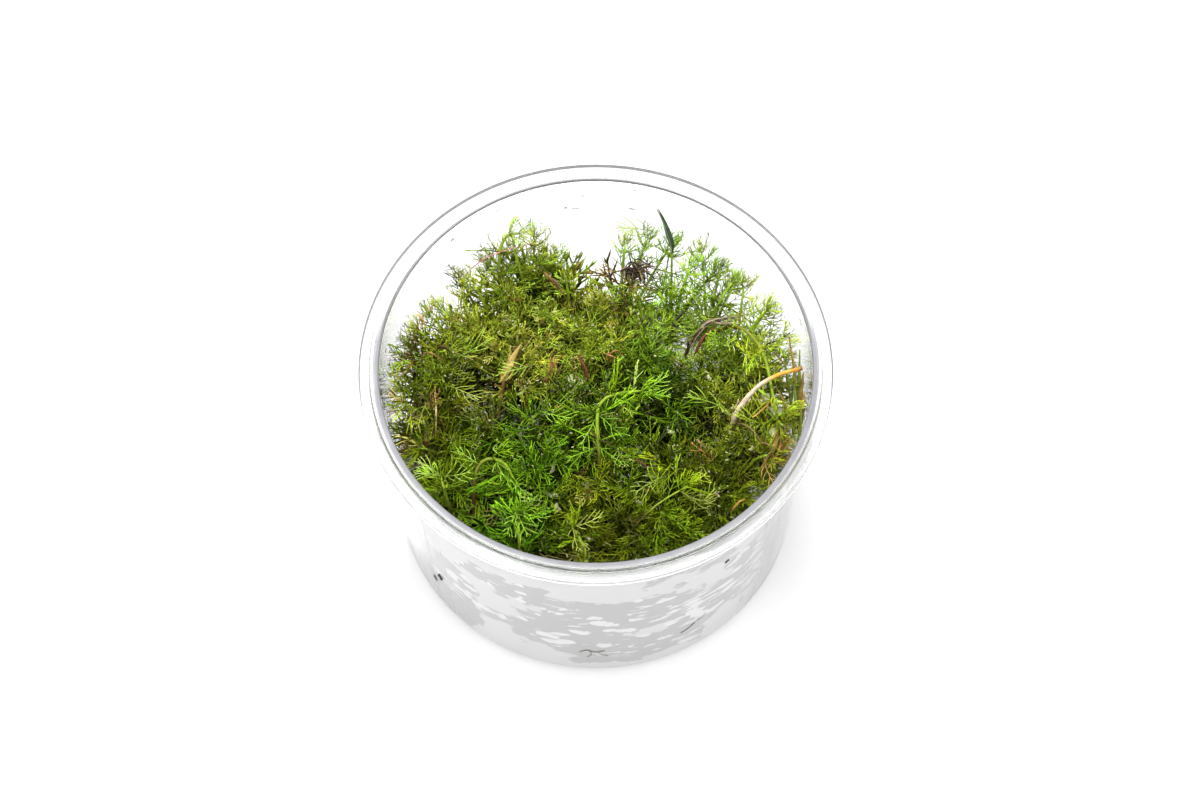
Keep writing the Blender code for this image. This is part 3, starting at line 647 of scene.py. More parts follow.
def leaf_thread(rng, form, along, side, sway):
    """One side thread of a leaf of unit length, at a share along it."""
    length, _, reach, thickness = LEAF_FORMS[form]
    start = THREAD_START + THREAD_RANGE * along + rng.uniform(-0.05, 0.05)
    swell = math.sin(math.pi * (0.28 + 0.58 * along))
    size = reach * swell * rng.uniform(*THREAD_SIZES)
    spread = math.radians(rng.uniform(*THREAD_SPREAD) - 12 * along)
    rise = rng.uniform(-0.15, 0.25)
    heading = np.array((math.cos(spread), side * math.sin(spread), rise)) * size
    bend = np.array((0.16, -0.18 * side, rng.uniform(-0.2, 0.3))) * size
    foot = np.array((start, sway * math.sin(RACHIS_WAVE * start), 0.0))
    stops = LOW_THREAD_STOPS if form == "low" else THREAD_STOPS
    line = [foot + heading * share + bend * share**2 for share in stops]
    radii = [thickness / 2 / length * taper for taper in THREAD_TAPER[: len(stops) - 1]]
    corners, faces, shares = tube(line, radii, 3)
    return corners, faces, 0.3 + 0.7 * shares * (0.6 + 0.4 * along)


def leaf_kind(rng, form):
    """One feathery leaf of unit length along X, nearly flat in XY: corners, triangles and
    each corner's share of the way to a tip."""
    length, pair_counts, _, thickness = LEAF_FORMS[form]
    pairs = rng.choice(pair_counts)
    sway = rng.uniform(-0.03, 0.03)
    rachis = [(x, sway * math.sin(RACHIS_WAVE * x), 0.0) for x in RACHIS_STOPS]
    parts = [tube(rachis, [thickness / 2 / length * taper for taper in RACHIS_TAPER], 3)]
    for pair in range(pairs):
        parts += [leaf_thread(rng, form, pair / (pairs - 1), side, sway) for side in (-1, 1)]
    return joined(parts)


def leaf_kinds(rng):
    """Several leaves of each form."""
    return {form: [leaf_kind(rng, form) for _ in range(KINDS_OF_EACH)] for form in LEAF_FORMS}


def placed_leaves(kind, leaves):
    """All the leaves of one kind, curled, folded, turned and put in place at once."""
    corners, faces, shares = kind
    curl, fold, sway = (leaves[key][:, None] for key in ("curl", "fold", "sway"))
    x, y = corners[None, :, 0], corners[None, :, 1]
    z = corners[None, :, 2] + np.abs(y) * np.sin(fold)
    y = y * np.cos(fold) + sway * x**2
    bent = curl * x
    with_curl = np.stack(
        (np.sin(bent) / curl - z * np.sin(bent), y, (1 - np.cos(bent)) / curl + z * np.cos(bent)),
        axis=2,
    )
    turned = np.einsum("lnk,lkj->lnj", with_curl * leaves["length"][:, None, None], leaves["axes"])
    points = turned + leaves["foot"][:, None, :]
    shares = shares[None, :, None]
    # painted shade at each leaf's foot, painted light towards its tips, and a pale painted highlight at
    # the tips
    tone = LEAF_BASE_SHADE + (LEAF_TIP_LIGHT - LEAF_BASE_SHADE) * shares
    pale = np.array(LEAF_TIP_HIGHLIGHT) * shares**3
    colours = leaves["colour"][:, None, :] * tone + pale * leaves["light"][:, None, None]
    steps = np.arange(len(points))[:, None, None] * len(corners)
    return points.reshape(-1, 3), (faces[None] + steps).reshape(-1, 3), colours.reshape(-1, 3)


def nearness(place, x, y, reach, power=2):
    """One at x, y in millimetres, and less with each step away from it."""
    distance = math.hypot(place[0] / MM - x, place[1] / MM - y)
    return math.exp(-((distance / reach) ** power))


def zone_at(place):
    """Leaf colour and openness at a place in the cup, blended from the zones round it."""
    colour, openness, weights = np.zeros(3), 0.0, 0.0
    for (x, y), zone_colour, zone_openness in ZONES:
        weight = nearness(place, x, y, ZONE_REACH) + 1e-6
        colour += np.array(zone_colour) * weight
        openness += zone_openness * weight
        weights += weight
    return colour / weights, openness / weights


def between(pair, share):
    return pair[0] + (pair[1] - pair[0]) * share


def by_growth(pair, openness):
    """The first of a pair where growth is dense, the second where it is open."""
    return pair[0] if openness < OPEN_FROM else pair[1]


def press_in(points):
    """Moves points that would pass the wall, the rim's height or the gel back inside."""
    points[:, 2] = np.minimum(points[:, 2], CUP_HEIGHT - TOP_ROOM)
    limit = inner_radius(points[:, 2]) - WALL_ROOM
    radius = np.hypot(points[:, 0], points[:, 1])
    pull = np.minimum(1.0, limit / np.maximum(radius, limit / 2))
    points[:, 0] *= pull
    points[:, 1] *= pull
    return points


def whorl(stem, along, count, length, lean, form, rng):
    """The leaves that grow from one place of a stem, as one dict for each leaf."""
    centre = stem.at(along)
    ahead, across, over = stem.frame(along)
    phase = rng.uniform(0, math.tau)
    leaves = []
    for leaf in range(count):
        angle = phase + math.tau * leaf / count + rng.uniform(-0.2, 0.2)
        out = across * math.cos(angle) + over * math.sin(angle)
        pitch = math.radians(lean + rng.uniform(-14, 14))
        heading = (out * math.sin(pitch) + ahead * math.cos(pitch)).normalized()
        side = ahead.cross(out).normalized()
        roll = rng.uniform(-0.6, 0.6)
        side = side * math.cos(roll) + heading.cross(side) * math.sin(roll)
        leaves.append({
            "foot": tuple(centre + out * LEAF_FOOT),
            "axes": (tuple(heading), tuple(side), tuple(heading.cross(side))),
            "length": length * rng.uniform(0.78, 1.18),
            "curl": rng.uniform(-0.35, 0.85) + (0.35 if form == "tip" else 0.0) + LEAST_CURL,
            "fold": rng.uniform(0.02, 0.4),
            "sway": rng.uniform(-0.3, 0.3),
            "form": form,
        })
    return leaves


def leaves_on(stem, start, rng):
    """All the leaves of a stem: the young whorls at its tip, and older ones down to start."""
    leaves = []
    _, openness = zone_at(stem.points[-1])
    for below, count, length, lean, form in by_growth(TIP_WHORLS, openness):
        leaves += whorl(stem, max(stem.length - below, 0.0), count, length, lean, form, rng)
    along = stem.length - TIP_REACH
    while along > start:
        place = stem.at(along)
        _, openness = zone_at(place)
        pitch, count = between(WHORL_PITCH, openness), WHORL_COUNT
        form = "open" if rng.random() < openness else "full"
        if rng.random() < THREAD_SHARE:
            form = "thread"
        if place.z < CANOPY_TOP + CANOPY_SLOPE * place.y - LOW_DEPTH and openness < LOW_OPENNESS:
            form, pitch, count = "low", LOW_PITCH, LOW_COUNT
        leaves += whorl(stem, along, count, LEAF_FORMS[form][0], WHORL_LEAN, form, rng)
        along -= pitch * rng.uniform(0.8, 1.15)
    return leaves


def withered_share(place):
    """The share of leaves that are dead at a place: more where the photo shows brown."""
    share = WITHERED_SHARE
    for x, y, reach, most in BROWN_PLACES:
        share += most * nearness(place, x, y, reach)
    return share


def leafiness(place):
    """The share of leaves kept at a place: few where the photo looks down to the gel."""
    share = 1.0
    for x, y, reach, least in BARE_PLACES:
        share = min(share, 1 - (1 - least) * nearness(place, x, y, reach, BARE_POWER))
    return share


def depth_shade(x, y, height, openness):
    """How light a leaf there is: painted shade darkens those low in dense growth, in place of the shade of
    the leaves above, less so by the wall, where painted light stands in for light coming through it.
    """
    fade = between(CANOPY_FADE, openness)
    by_wall = np.clip((np.hypot(x, y) - WALL_LIGHT[0]) / (WALL_LIGHT[1] - WALL_LIGHT[0]), 0, 1)
    least = between(LEAST_DEPTH_SHADE, openness) + WALL_SHADE * by_wall
    shade = np.exp((height - CANOPY_TOP - CANOPY_SLOPE * y) / fade)
    return least + (1 - least) * np.minimum(shade, 1.0)


def colour_leaf(leaf, rng, tint, light):
    """Gives a leaf its light and colour, by its place in the cup and by chance."""
    colour, openness = zone_at(leaf["foot"])
    leaf["light"] = rng.uniform(*LEAF_SPREAD) * light * depth_shade(*leaf["foot"], openness)
    hue = np.array((rng.uniform(*HUE_SPREAD), 1.0, 1.0))
    if rng.random() < withered_share(leaf["foot"]):
        colour, hue = np.array(rng.choice(WITHERED)), 1.0
    elif rng.random() < PALE_SHARE:
        colour = colour * 0.5 + np.array(PALE_GREEN) * 0.5
    leaf["colour"] = colour * hue * tint * leaf["light"]


def add_leaves(parts, leaves, kinds, rng, tint, light=1.0):
    """Adds the leaves, each drawn at random from those of its form."""
    for form, choices in kinds.items():
        drawn = [(rng.randrange(len(choices)), leaf) for leaf in leaves if leaf["form"] == form]
        for index, kind in enumerate(choices):
            mine = [leaf for draw, leaf in drawn if draw == index]
            if not mine:
                continue
            for leaf in mine:
                if "colour" not in leaf:
                    colour_leaf(leaf, rng, tint, light)
            rows = {key: np.array([leaf[key] for leaf in mine]) for key in mine[0] if key != "form"}
            points, faces, tones = placed_leaves(kind, rows)
            parts.append((press_in(points), faces, tones))


def add_stem(parts, stem, tint, rng, stout=1.0, light=1.0):
    """Adds the stem itself, thinner to its tip, browner at its foot and darkened by painted shade low in
    the growth.
    """
    stops = [step / STEM_RINGS for step in range(STEM_RINGS + 1)]
    points = [tuple(stem.at(stem.length * stop)) for stop in stops]
    radii = [between(STEM_RADIUS, stop) * stout for stop in stops]
    corners, faces, shares = tube(points, radii, 6, facing=(0.3, 0.9, 0.1))
    brown = np.clip(1.0 - shares * 1.6 + rng.uniform(-0.2, 0.3), 0, 1)[:, None]
    colours = (np.array(STEM_COLOUR) * (1 - brown) + np.array(STEM_BROWN) * brown) * tint
    _, openness = zone_at(stem.points[-1])
    shade = np.maximum(depth_shade(*corners.T, openness), LEAST_STEM_SHADE)[:, None]
    parts.append((press_in(corners), faces, colours * light * shade))


def kept_inside(point, room):
    """The point, moved towards the middle if it is nearer than this to the wall."""
    limit = inner_radius(point.z) - room
    radius = math.hypot(point.x, point.y)
    if radius > limit:
        point.x *= limit / radius
        point.y *= limit / radius
    return point


def place_beside(place, rng, reaches):
    """A place at a random distance and direction from another, in millimetres."""
    angle = rng.uniform(0, math.tau)
    reach = rng.uniform(*reaches) * MM
    return place + Vector((math.cos(angle), math.sin(angle), 0.0)) * reach


def branch_of(stem, rng):
    """A side stem that forks low from a stem and rises beside it."""
    fork = stem.at(stem.length * rng.uniform(0.12, 0.5))
    end = place_beside(stem.points[-1], rng, (6.5, 11.0))
    end.z -= rng.uniform(0.3, 5.0) * MM
    end = kept_inside(end, 4 * MM)
    if abs(end.x - NOTCH[0]) < NOTCH_HALF and end.y > NOTCH[1]:
        end.y = NOTCH[1]
    return rising(fork, end, rng.uniform(0, math.tau), lean=0.55, height=0.8)


def undergrowth_of(stem, rng):
    """A low side stem that spreads over the gel."""
    fork = stem.at(stem.length * rng.uniform(0.02, 0.2))
    end = place_beside(fork, rng, (6.0, 13.0))
    end.z = rng.uniform(*UNDERGROWTH_TOP)
    end = kept_inside(end, 3 * MM)
    return rising(fork, end, rng.uniform(0, math.tau), lean=0.5, height=0.6)


def nearest_stem(stems, place, step=HIGH_STEP):
    """Which stem stands nearest to a place, at one of the steps along the stems."""
    gaps = [math.hypot(stem.points[step].x - place.x, stem.points[step].y - place.y) for stem in stems]
    return gaps.index(min(gaps))


def gap_branches(stems):
    """For each stem, the side stems that it sends to places where no shoot stands."""
    found = {index: [] for index in range(len(stems))}
    for number, place in enumerate(GAP_TIPS):
        end = Vector(place) * MM
        nearest = nearest_stem(stems, end, LOW_STEP)
        fork = stems[nearest].at(stems[nearest].length * 0.25)
        found[nearest].append(rising(fork, end, GOLDEN_ANGLE * number, lean=0.6, height=0.7))
    return found


def add_crowns(stems, to_gaps):
    """Adds a side stem towards each place of a spiral that stands far from every tip."""
    tips = [stem.points[-1] for stem in stems]
    tips += [branch.points[-1] for branches in to_gaps.values() for branch in branches]
    rng = random.Random(CROWN_SEED)
    for number in range(CROWN_PLACES):
        radius = CROWN_REACH * math.sqrt((number + 0.5) / CROWN_PLACES)
        angle = GOLDEN_ANGLE * number
        x, y = radius * math.cos(angle), radius * math.sin(angle)
        crowded = min(math.hypot(tip.x - x, tip.y - y) for tip in tips) < CROWN_ROOM
        if crowded or y > CROWN_BACK:
            continue
        top = CANOPY_TOP + CANOPY_SLOPE * y - rng.uniform(0.5, 3.5) * MM
        end = Vector((x, y, top))
        nearest = nearest_stem(stems, end)
        fork = stems[nearest].at(stems[nearest].length * rng.uniform(0.3, 0.5))
        to_gaps[nearest].append(rising(fork, end, angle, lean=0.6, height=0.7))
        tips.append(end)


def arched_stems(stems):
    """For each stem, the curved side stems that show above the leaves near it."""
    found = {index: [] for index in range(len(stems))}
    for number, (places, stout, light, leafy) in enumerate(ARCHES):
        line = [Vector(place) * MM for place in smooth_line(places, 8)]
        arch = Stem(line, GOLDEN_ANGLE * number)
        found[nearest_stem(stems, line[0])].append((arch, stout, light, leafy))
    return found


def extra_leaves(stems):
    """For each stem, the leaves that the photo shows one by one near it."""
    found = {index: [] for index in range(len(stems))}
    for place, heading, length, form, colour in SHOWN_LEAVES:
        foot = Vector(place) * MM
        ahead = Vector(heading).normalized()
        side = Vector((0.0, 0.0, 1.0)).cross(ahead).normalized()
        axes = (tuple(ahead), tuple(side), tuple(ahead.cross(side)))
        leaf = {"foot": tuple(foot), "axes": axes, "length": length * MM, "form": form}
        found[nearest_stem(stems, foot)].append({**leaf, **SHOWN_BEND, "colour": colour, "light": 1.0})
    return found


def add_grown(parts, stem, bare, kept, kinds, rng, look):
    """Adds a stem and the leaves above its bare foot, of which kept gives the share at a place."""
    tint, stout, stem_light, leaf_light = look
    add_stem(parts, stem, tint, rng, stout, stem_light)
    leaves = leaves_on(stem, bare, rng)
    if kept:
        leaves = [leaf for leaf in leaves if rng.random() < kept(leaf["foot"])]
    add_leaves(parts, leaves, kinds, rng, tint, leaf_light)


def make_shoots(material, kinds):
    """The fine shoots, one piece for each solid that they stand for."""
    stems = make_stems(random.Random(SEED))
    to_gaps = gap_branches(stems)
    add_crowns(stems, to_gaps)
    arches = arched_stems(stems)
    shown = extra_leaves(stems)
    pieces = []
    for index, stem in enumerate(stems):
        node = f"shoot_{index + 1:02d}"
        rng = random.Random(SHOOT_SEED + index)
        parts = []
        tint = np.array((rng.uniform(0.85, 1.15), 1.0, rng.uniform(0.7, 1.3)))
        stout, light, leafy = SHOW_STEMS.get(node, (1.0, 1.0, 1.0))
        _, openness = zone_at(stem.points[-1])
        look = (tint, stout, light * (1 + 0.8 * openness), CROWN_LIGHT[0])
        bare = between(BARE_FOOT, openness)
        add_grown(parts, stem, bare, lambda place: leafy * leafiness(place), kinds, rng, look)
        branches = [branch_of(stem, rng) for _ in range(by_growth(BRANCHES, openness))]
        look = (tint, BRANCH_STOUT, light * (1 + 0.5 * openness), CROWN_LIGHT[1])
        for branch in branches + to_gaps[index]:
            add_grown(parts, branch, BRANCH_BARE, leafiness, kinds, rng, look)
        for arch, stout, light, leafy in arches[index]:
            look = (np.ones(3), stout, light, ARCH_LIGHT)
            add_grown(parts, arch, 0.0, lambda place: leafy, kinds, rng, look)
        add_leaves(parts, shown[index], kinds, rng, np.ones(3))
        for _ in range(by_growth(UNDERGROWTH, openness)):
            look = (tint, RUNNER_STOUT, 1.0, 1.0)
            add_grown(parts, undergrowth_of(stem, rng), RUNNER_BARE, None, kinds, rng, look)
        piece = make_piece(parts, f"feathery_{node}", material)
        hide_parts(node)
        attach(piece, "root")
        pieces.append(piece)
    return pieces


def arc(centre, radius, start, end, steps):
    """Points of a profile's round corner, both ends included."""
    angles = np.radians(np.linspace(start, end, steps + 1))
    return [(centre[0] + radius * math.cos(a), centre[1] + radius * math.sin(a)) for a in angles]


def cup_profile():
    """Radius and height from the middle of the base, over the rim, to the middle of the floor."""
    plate_top = CUP_HEIGHT - FLANGE_DROP
    plate_under = plate_top - FLANGE_PLATE
    edge = FLANGE_EDGE_ROUND
    outer_top = inner_radius(plate_under) + WALL
    foot_in = FOOT_RADIUS - FOOT_FILLET
    profile = [(0.0, BASE_RAISE), (foot_in - 5 * MM, BASE_RAISE), (foot_in - 4 * MM, 0.0)]
    profile += arc((foot_in, FOOT_FILLET), FOOT_FILLET, -90, 0, 8)
    slope = (outer_top - FOOT_RADIUS) / (plate_under - FOOT_FILLET)
    for height in (FOOT_FILLET + LOOP, CUP_HEIGHT / 2, plate_under - edge - LOOP):
        profile.append((FOOT_RADIUS + slope * (height - FOOT_FILLET), height))
    profile += arc((outer_top + edge, plate_under - edge), edge, 180, 90, 3)
    profile.append((FLANGE_RADIUS - FLANGE_PLATE, plate_under))
    profile += arc(
        (FLANGE_RADIUS - FLANGE_PLATE + edge, plate_top - FLANGE_EDGE + edge), edge, 180, 270, 3
    )
    profile += arc((FLANGE_RADIUS - edge, plate_top - FLANGE_EDGE + edge), edge, -90, 0, 4)
    profile += arc((FLANGE_RADIUS - edge, plate_top - edge), edge, 0, 90, 4)
    profile += arc((LAND_OUTER + LIP_ROUND, plate_top + edge), edge, 270, 180, 3)
    profile += arc((LAND_OUTER - edge, CUP_HEIGHT - edge), edge, 0, 90, 4)
    profile += arc((LAND_INNER + LIP_ROUND, CUP_HEIGHT - LIP_ROUND), LIP_ROUND, 90, 180, 5)
    for height in (CUP_HEIGHT - LIP_ROUND - LOOP, CUP_HEIGHT / 2, FLOOR + INNER_FILLET + LOOP):
        profile.append((inner_radius(height), height))
    corner = inner_radius(FLOOR + INNER_FILLET) - INNER_FILLET
    profile += arc((corner, FLOOR + INNER_FILLET), INNER_FILLET, 0, -90, 6)
    profile += [(corner - LOOP, FLOOR), (0.0, FLOOR)]
    return profile


def lathe(profile, segments):
    """A closed surface round Z from a profile that starts and ends on the axis."""
    rim = profile[1:-1]
    angles = math.tau * np.arange(segments) / segments
    rings = [
        np.stack((r * np.cos(angles), r * np.sin(angles), np.full(segments, z)), axis=1)
        for r, z in rim
    ]
    ends = np.array([(0.0, 0.0, profile[0][1]), (0.0, 0.0, profile[-1][1])])
    first = len(rim) * segments
    return np.concatenate(rings + [ends]), closed_faces(len(rim), segments, 0, first, first + 1)


def plain(points, colour=(1.0, 1.0, 1.0)):
    return np.tile(colour, (len(points), 1))


def make_cup(material):
    """The moulded cup, with the rim's small rounds that the solid leaves out."""
    parts = []
    points, faces = lathe(cup_profile(), CUP_SEGMENTS)
    parts.append((points, faces, plain(points)))
    cup = make_piece(parts, "clear_cup", material)
    cup.data.set_sharp_from_angle(angle=math.radians(50))
    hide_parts("cup")
    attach(cup, "root")


def make_gel(material):
    """The gel in the foot of the cup, its top uneven where the shoots grow from it."""
    bottom = FLOOR + GAP
    base = inner_radius(bottom) - GAP - INNER_FILLET
    rim = [(base * 0.5, bottom), (base, bottom)]
    rim += arc((base, bottom + INNER_FILLET), INNER_FILLET, -80, 0, 4)
    rim.append((inner_radius(GEL_TOP) - GAP, GEL_TOP))
    rim += [(share * (inner_radius(GEL_TOP) - GAP), GEL_TOP) for share in np.linspace(0.985, 0.02, 46)]
    points, faces = lathe([(0.0, bottom)] + rim + [(0.0, GEL_TOP)], GEL_SEGMENTS)
    rng = np.random.default_rng(GEL_SEED)
    lumps = rng.uniform(-36, 36, (GEL_LUMPS, 2)) * MM
    heights = rng.uniform(0.1, 0.7, GEL_LUMPS) * MM
    widths = rng.uniform(0.8, 2.4, GEL_LUMPS) * MM
    on_top = points[:, 2] >= GEL_TOP - 1e-9
    for index in np.flatnonzero(on_top):
        x, y, _ = points[index]
        near = ((lumps[:, 0] - x) ** 2 + (lumps[:, 1] - y) ** 2) / widths**2
        points[index, 2] = gel_height(x, y) - GAP / 2 + (heights * np.exp(-near)).sum() * 0.5
    parts = []
    parts.append((points, faces, plain(points)))
    gel = make_piece(parts, "pale_gel", material)
    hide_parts("nutrient_gel")
    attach(gel, "root")


def make_specks(pieces, material):
    """Crumbs of gel caught on the leaves, which also stand in as painted glints between the threads, and a
    few larger flakes of gel.
    """
    rng = np.random.default_rng(SPECK_SEED)
    corners = []
    for piece in pieces:
        flat = np.empty(len(piece.data.vertices) * 3, np.float32)
        piece.data.vertices.foreach_get("co", flat)
        corners.append(flat.reshape(-1, 3))
    corners = np.concatenate(corners)
    below = CANOPY_TOP + CANOPY_SLOPE * corners[:, 1] - corners[:, 2]
    near_top = corners[(below > SPECK_DEPTHS[0]) & (below < SPECK_DEPTHS[1])]
    parts = []
    for index in rng.integers(0, len(near_top), SPECKS):
        sizes = rng.uniform((0.10, 0.18, 0.06), (0.24, 0.50, 0.12)) * MM
        points, faces = blob(near_top[index], sizes, rng, steps=(5, 4))
        parts.append((press_in(points), faces, plain(points)))
    for x, y, z, length in FLAKES:
        for _ in range(2):
            centre = (np.array((x, y, z)) + rng.uniform(-0.6, 0.6, 3)) * MM
            sizes = np.array((rng.uniform(0.4, 0.7), 1.0, rng.uniform(0.15, 0.25))) * length * MM
            points, faces = blob(centre, sizes, rng, steps=(6, 4))
            parts.append((press_in(points), faces, plain(points)))
    specks = make_piece(parts, "gel_crumbs_and_glints", material, smooth=False)
    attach(specks, "root")


def smooth_line(points, steps):
    """A Catmull-Rom curve through rows of numbers, with its first and last row kept."""
    rows = np.asarray(points, float)
    padded = np.vstack((2 * rows[0] - rows[1], rows, 2 * rows[-1] - rows[-2]))
    line = []
    for index in range(1, len(rows)):
        a, b, c, d = padded[index - 1 : index + 3]
        slope, bend, twist = c - a, 2 * a - 5 * b + 4 * c - d, 3 * b - a - 3 * c + d
        for share in np.arange(steps) / steps:
            line.append(0.5 * (2 * b + slope * share + bend * share**2 + twist * share**3))
    line.append(rows[-1])
    return np.array(line)


def blob(centre, sizes, rng, steps, lumpiness=0.3, turned=True):
    """A closed, slightly lumpy pebble: corners and triangles."""
    around, up = steps
    phases = rng.uniform(0, math.tau, 3)
    corners = [(0.0, 0.0, -1.0)]
    for ring in range(1, up):
        tilt = math.pi * ring / up - math.pi / 2
        for side in range(around):
            angle = math.tau * side / around
            wave = math.sin(3 * angle + phases[0]) * math.cos(2 * tilt + phases[1])
            swell = 1 + lumpiness * (wave + math.sin(2 * angle + phases[2]))
            wide = swell * math.cos(tilt)
            corners.append((wide * math.cos(angle), wide * math.sin(angle), math.sin(tilt)))
    corners.append((0.0, 0.0, 1.0))
    turn = rng.uniform(0, math.tau) if turned else 0.0
    spin = np.array((
        (math.cos(turn), -math.sin(turn), 0.0),
        (math.sin(turn), math.cos(turn), 0.0),
        (0.0, 0.0, 1.0),
    ))
    faces = closed_faces(up - 1, around, 1, 0, len(corners) - 1)
    return (np.array(corners) * sizes) @ spin.T + centre, faces


def ribbon(points, sides=8, facing=(0.35, 1.0, 0.2)):
    """A closed flat tube through rows of x, y, z, half width and half thickness, in mm."""
    rows = smooth_line(points, RIBBON_STEPS)
    middle = rows[:, :3] * MM
    across, over = axes_across(middle, -np.array(facing))
    angles = (math.tau * np.arange(sides) / sides)[:, None]
    wide = across * np.cos(angles) * rows[:, 3, None, None] * MM
    deep = over * np.sin(angles) * rows[:, 4, None, None] * MM
    corners = (middle[:, None, :] + wide + deep).reshape(-1, 3)
    shares = np.repeat(np.linspace(0, 1, len(rows)), sides)
    last = (len(rows) - 1) * sides
    faces = [(0, side + 1, side) for side in range(1, sides - 1)] + ring_faces(len(rows), sides)
    faces += [(last, last + side, last + side + 1) for side in range(1, sides - 1)]
    return corners, np.array(faces), shares


def blended(shares, stops):
    """Colours along a part, from stops given as share and colour."""
    places = [place for place, _ in stops]
    colours = np.array([colour for _, colour in stops])
    return np.stack([np.interp(shares, places, colours[:, axis]) for axis in range(3)], axis=1)


def add_ribbon(parts, points, stops, **options):
    corners, faces, shares = ribbon(points, **options)
    parts.append((corners, faces, blended(shares, stops)))


def add_foot_stem(parts, name, half, colour, rows=3):
    """The thin stem that carries a stray, from the gel to where its own form starts."""
    points = [list(row[:3]) + [half, half] for row in STRAYS[name][:rows]]
    x, y, _ = points[0][:3]
    points[0][2] = (gel_height(x * MM, y * MM) + SLOPE_GAP) / MM
    add_ribbon(parts, points, ((0.0, colour), (1.0, colour)), sides=6)


def add_bundle(parts, foot, tip, count, spread, width, colours, rng):
    """Dry, narrow, pointed leaves that rise together and part at their tips."""
    foot, tip = Vector(foot), Vector(tip)
    along = tip - foot
    for _ in range(count):
        start = foot + Vector((rng.uniform(-0.9, 0.9), rng.uniform(-1.2, 1.2), rng.uniform(-1.5, 0.5)))
        aside = Vector((rng.uniform(-1, 1), rng.uniform(-0.6, 0.6), rng.uniform(-0.5, 0.3)))
        end = start + along * rng.uniform(0.5, 1.0) + aside * spread
        middle = start.lerp(end, 0.5) - aside * spread * rng.uniform(0.0, 0.5)
        wide = width * rng.uniform(0.4, 1.1)
        points = (
            (*start, wide * 0.4, wide * 0.2),
            (*start.lerp(middle, 0.6), wide, wide * 0.25),
            (*middle, wide * 0.9, wide * 0.2),
            (*end, 0.05, 0.05),
        )
        colour = np.array(rng.choice(colours)) * rng.uniform(0.7, 1.3)
        add_ribbon(parts, points, ((0.0, colour * 0.5), (1.0, colour)), sides=6)


def finished_stray(parts, name, material):
    piece = make_piece(parts, f"dry_{name}", material)
    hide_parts(name)
    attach(piece, "root")


def make_narrow_leaf(material):
    """The dark folded leaf at the back, its midrib paler."""
    parts = []
    add_foot_stem(parts, "narrow_leaf", 0.16, (0.10, 0.14, 0.03))
    dark, rib = (0.05, 0.075, 0.03), (0.22, 0.27, 0.15)
    blade = (
        (16.6, 33.8, 48.6, 0.10, 0.10),
        (16.6, 34.8, 50.4, 0.50, 0.14),
        (15.8, 36.0, 53.0, 0.66, 0.14),
        (14.6, 37.8, 56.2, 0.34, 0.12),
        (13.4, 39.2, 58.6, 0.04, 0.04),
    )
    add_ribbon(parts, blade, ((0.0, dark), (0.5, (0.05, 0.085, 0.04)), (1.0, dark)), facing=(0.5, -1, 0.3))
    spine = [(x - 0.25, y - 0.25, z + 0.05, 0.10, 0.10) for x, y, z, _, _ in blade]
    add_ribbon(parts, spine, ((0.0, rib), (1.0, rib)), sides=6)
    finished_stray(parts, "narrow_leaf", material)


def make_cut_stem(material, rng):
    """The pale peeled stem that turns orange towards its brown cut end at the wall."""
    parts = []
    add_foot_stem(parts, "cut_stem", 0.5, (0.35, 0.26, 0.12))
    pale, orange, brown = (0.72, 0.58, 0.42), (0.74, 0.36, 0.045), (0.22, 0.10, 0.03)
    body = (
        (28.6, -5.6, 40.0, 0.40, 0.38),
        (30.6, -3.4, 46.6, 0.64, 0.40),
        (34.2, -0.4, 50.4, 0.56, 0.40),
        (38.4, 1.4, 52.6, 0.48, 0.44),
        (43.9, 2.6, 53.8, 0.54, 0.50),
    )
    stops = ((0.0, (0.4, 0.3, 0.16)), (0.25, pale), (0.6, pale))
    stops += ((0.72, orange), (0.95, orange), (1.0, brown))
    add_ribbon(parts, body, stops)
    for _ in range(TORN_FIBRES):
        x, y, z = 30.5 + rng.uniform(-0.6, 2.5), -3.2 + rng.uniform(-0.5, 2.0), 46.8 + rng.uniform(0, 2)
        end = (x + rng.uniform(-2.4, 0.4), y - rng.uniform(0.5, 3.0), z - rng.uniform(0.5, 3.0))
        middle = [(a + b) / 2 + rng.uniform(-0.4, 0.4) for a, b in zip((x, y, z), end)]
        fibre = ((x, y, z, 0.16, 0.12), (*middle, 0.14, 0.1), (*end, 0.04, 0.04))
        add_ribbon(parts, fibre, ((0.0, pale), (1.0, (0.5, 0.4, 0.25))), sides=6)
    finished_stray(parts, "cut_stem", material)


def make_dry_blade(name, tints, count, material, rng):
    """A withered bundle of narrow leaves on its stem."""
    parts = []
    add_foot_stem(parts, name, 0.35, tints[0], rows=2)
    rows = STRAYS[name]
    low = Vector(rows[2][:3])
    tip = Vector(rows[3][:3])
    stalk = ((*rows[1][:3], 0.35, 0.35), (*low.lerp(tip, 0.1), 0.4, 0.4), (*low.lerp(tip, 0.3), 0.3, 0.3))
    add_ribbon(parts, stalk, ((0.0, tints[0]), (1.0, tints[1])), sides=6)
    add_bundle(parts, low.lerp(tip, 0.12), tip, count, 1.5, 0.85, tints, rng)
    finished_stray(parts, name, material)


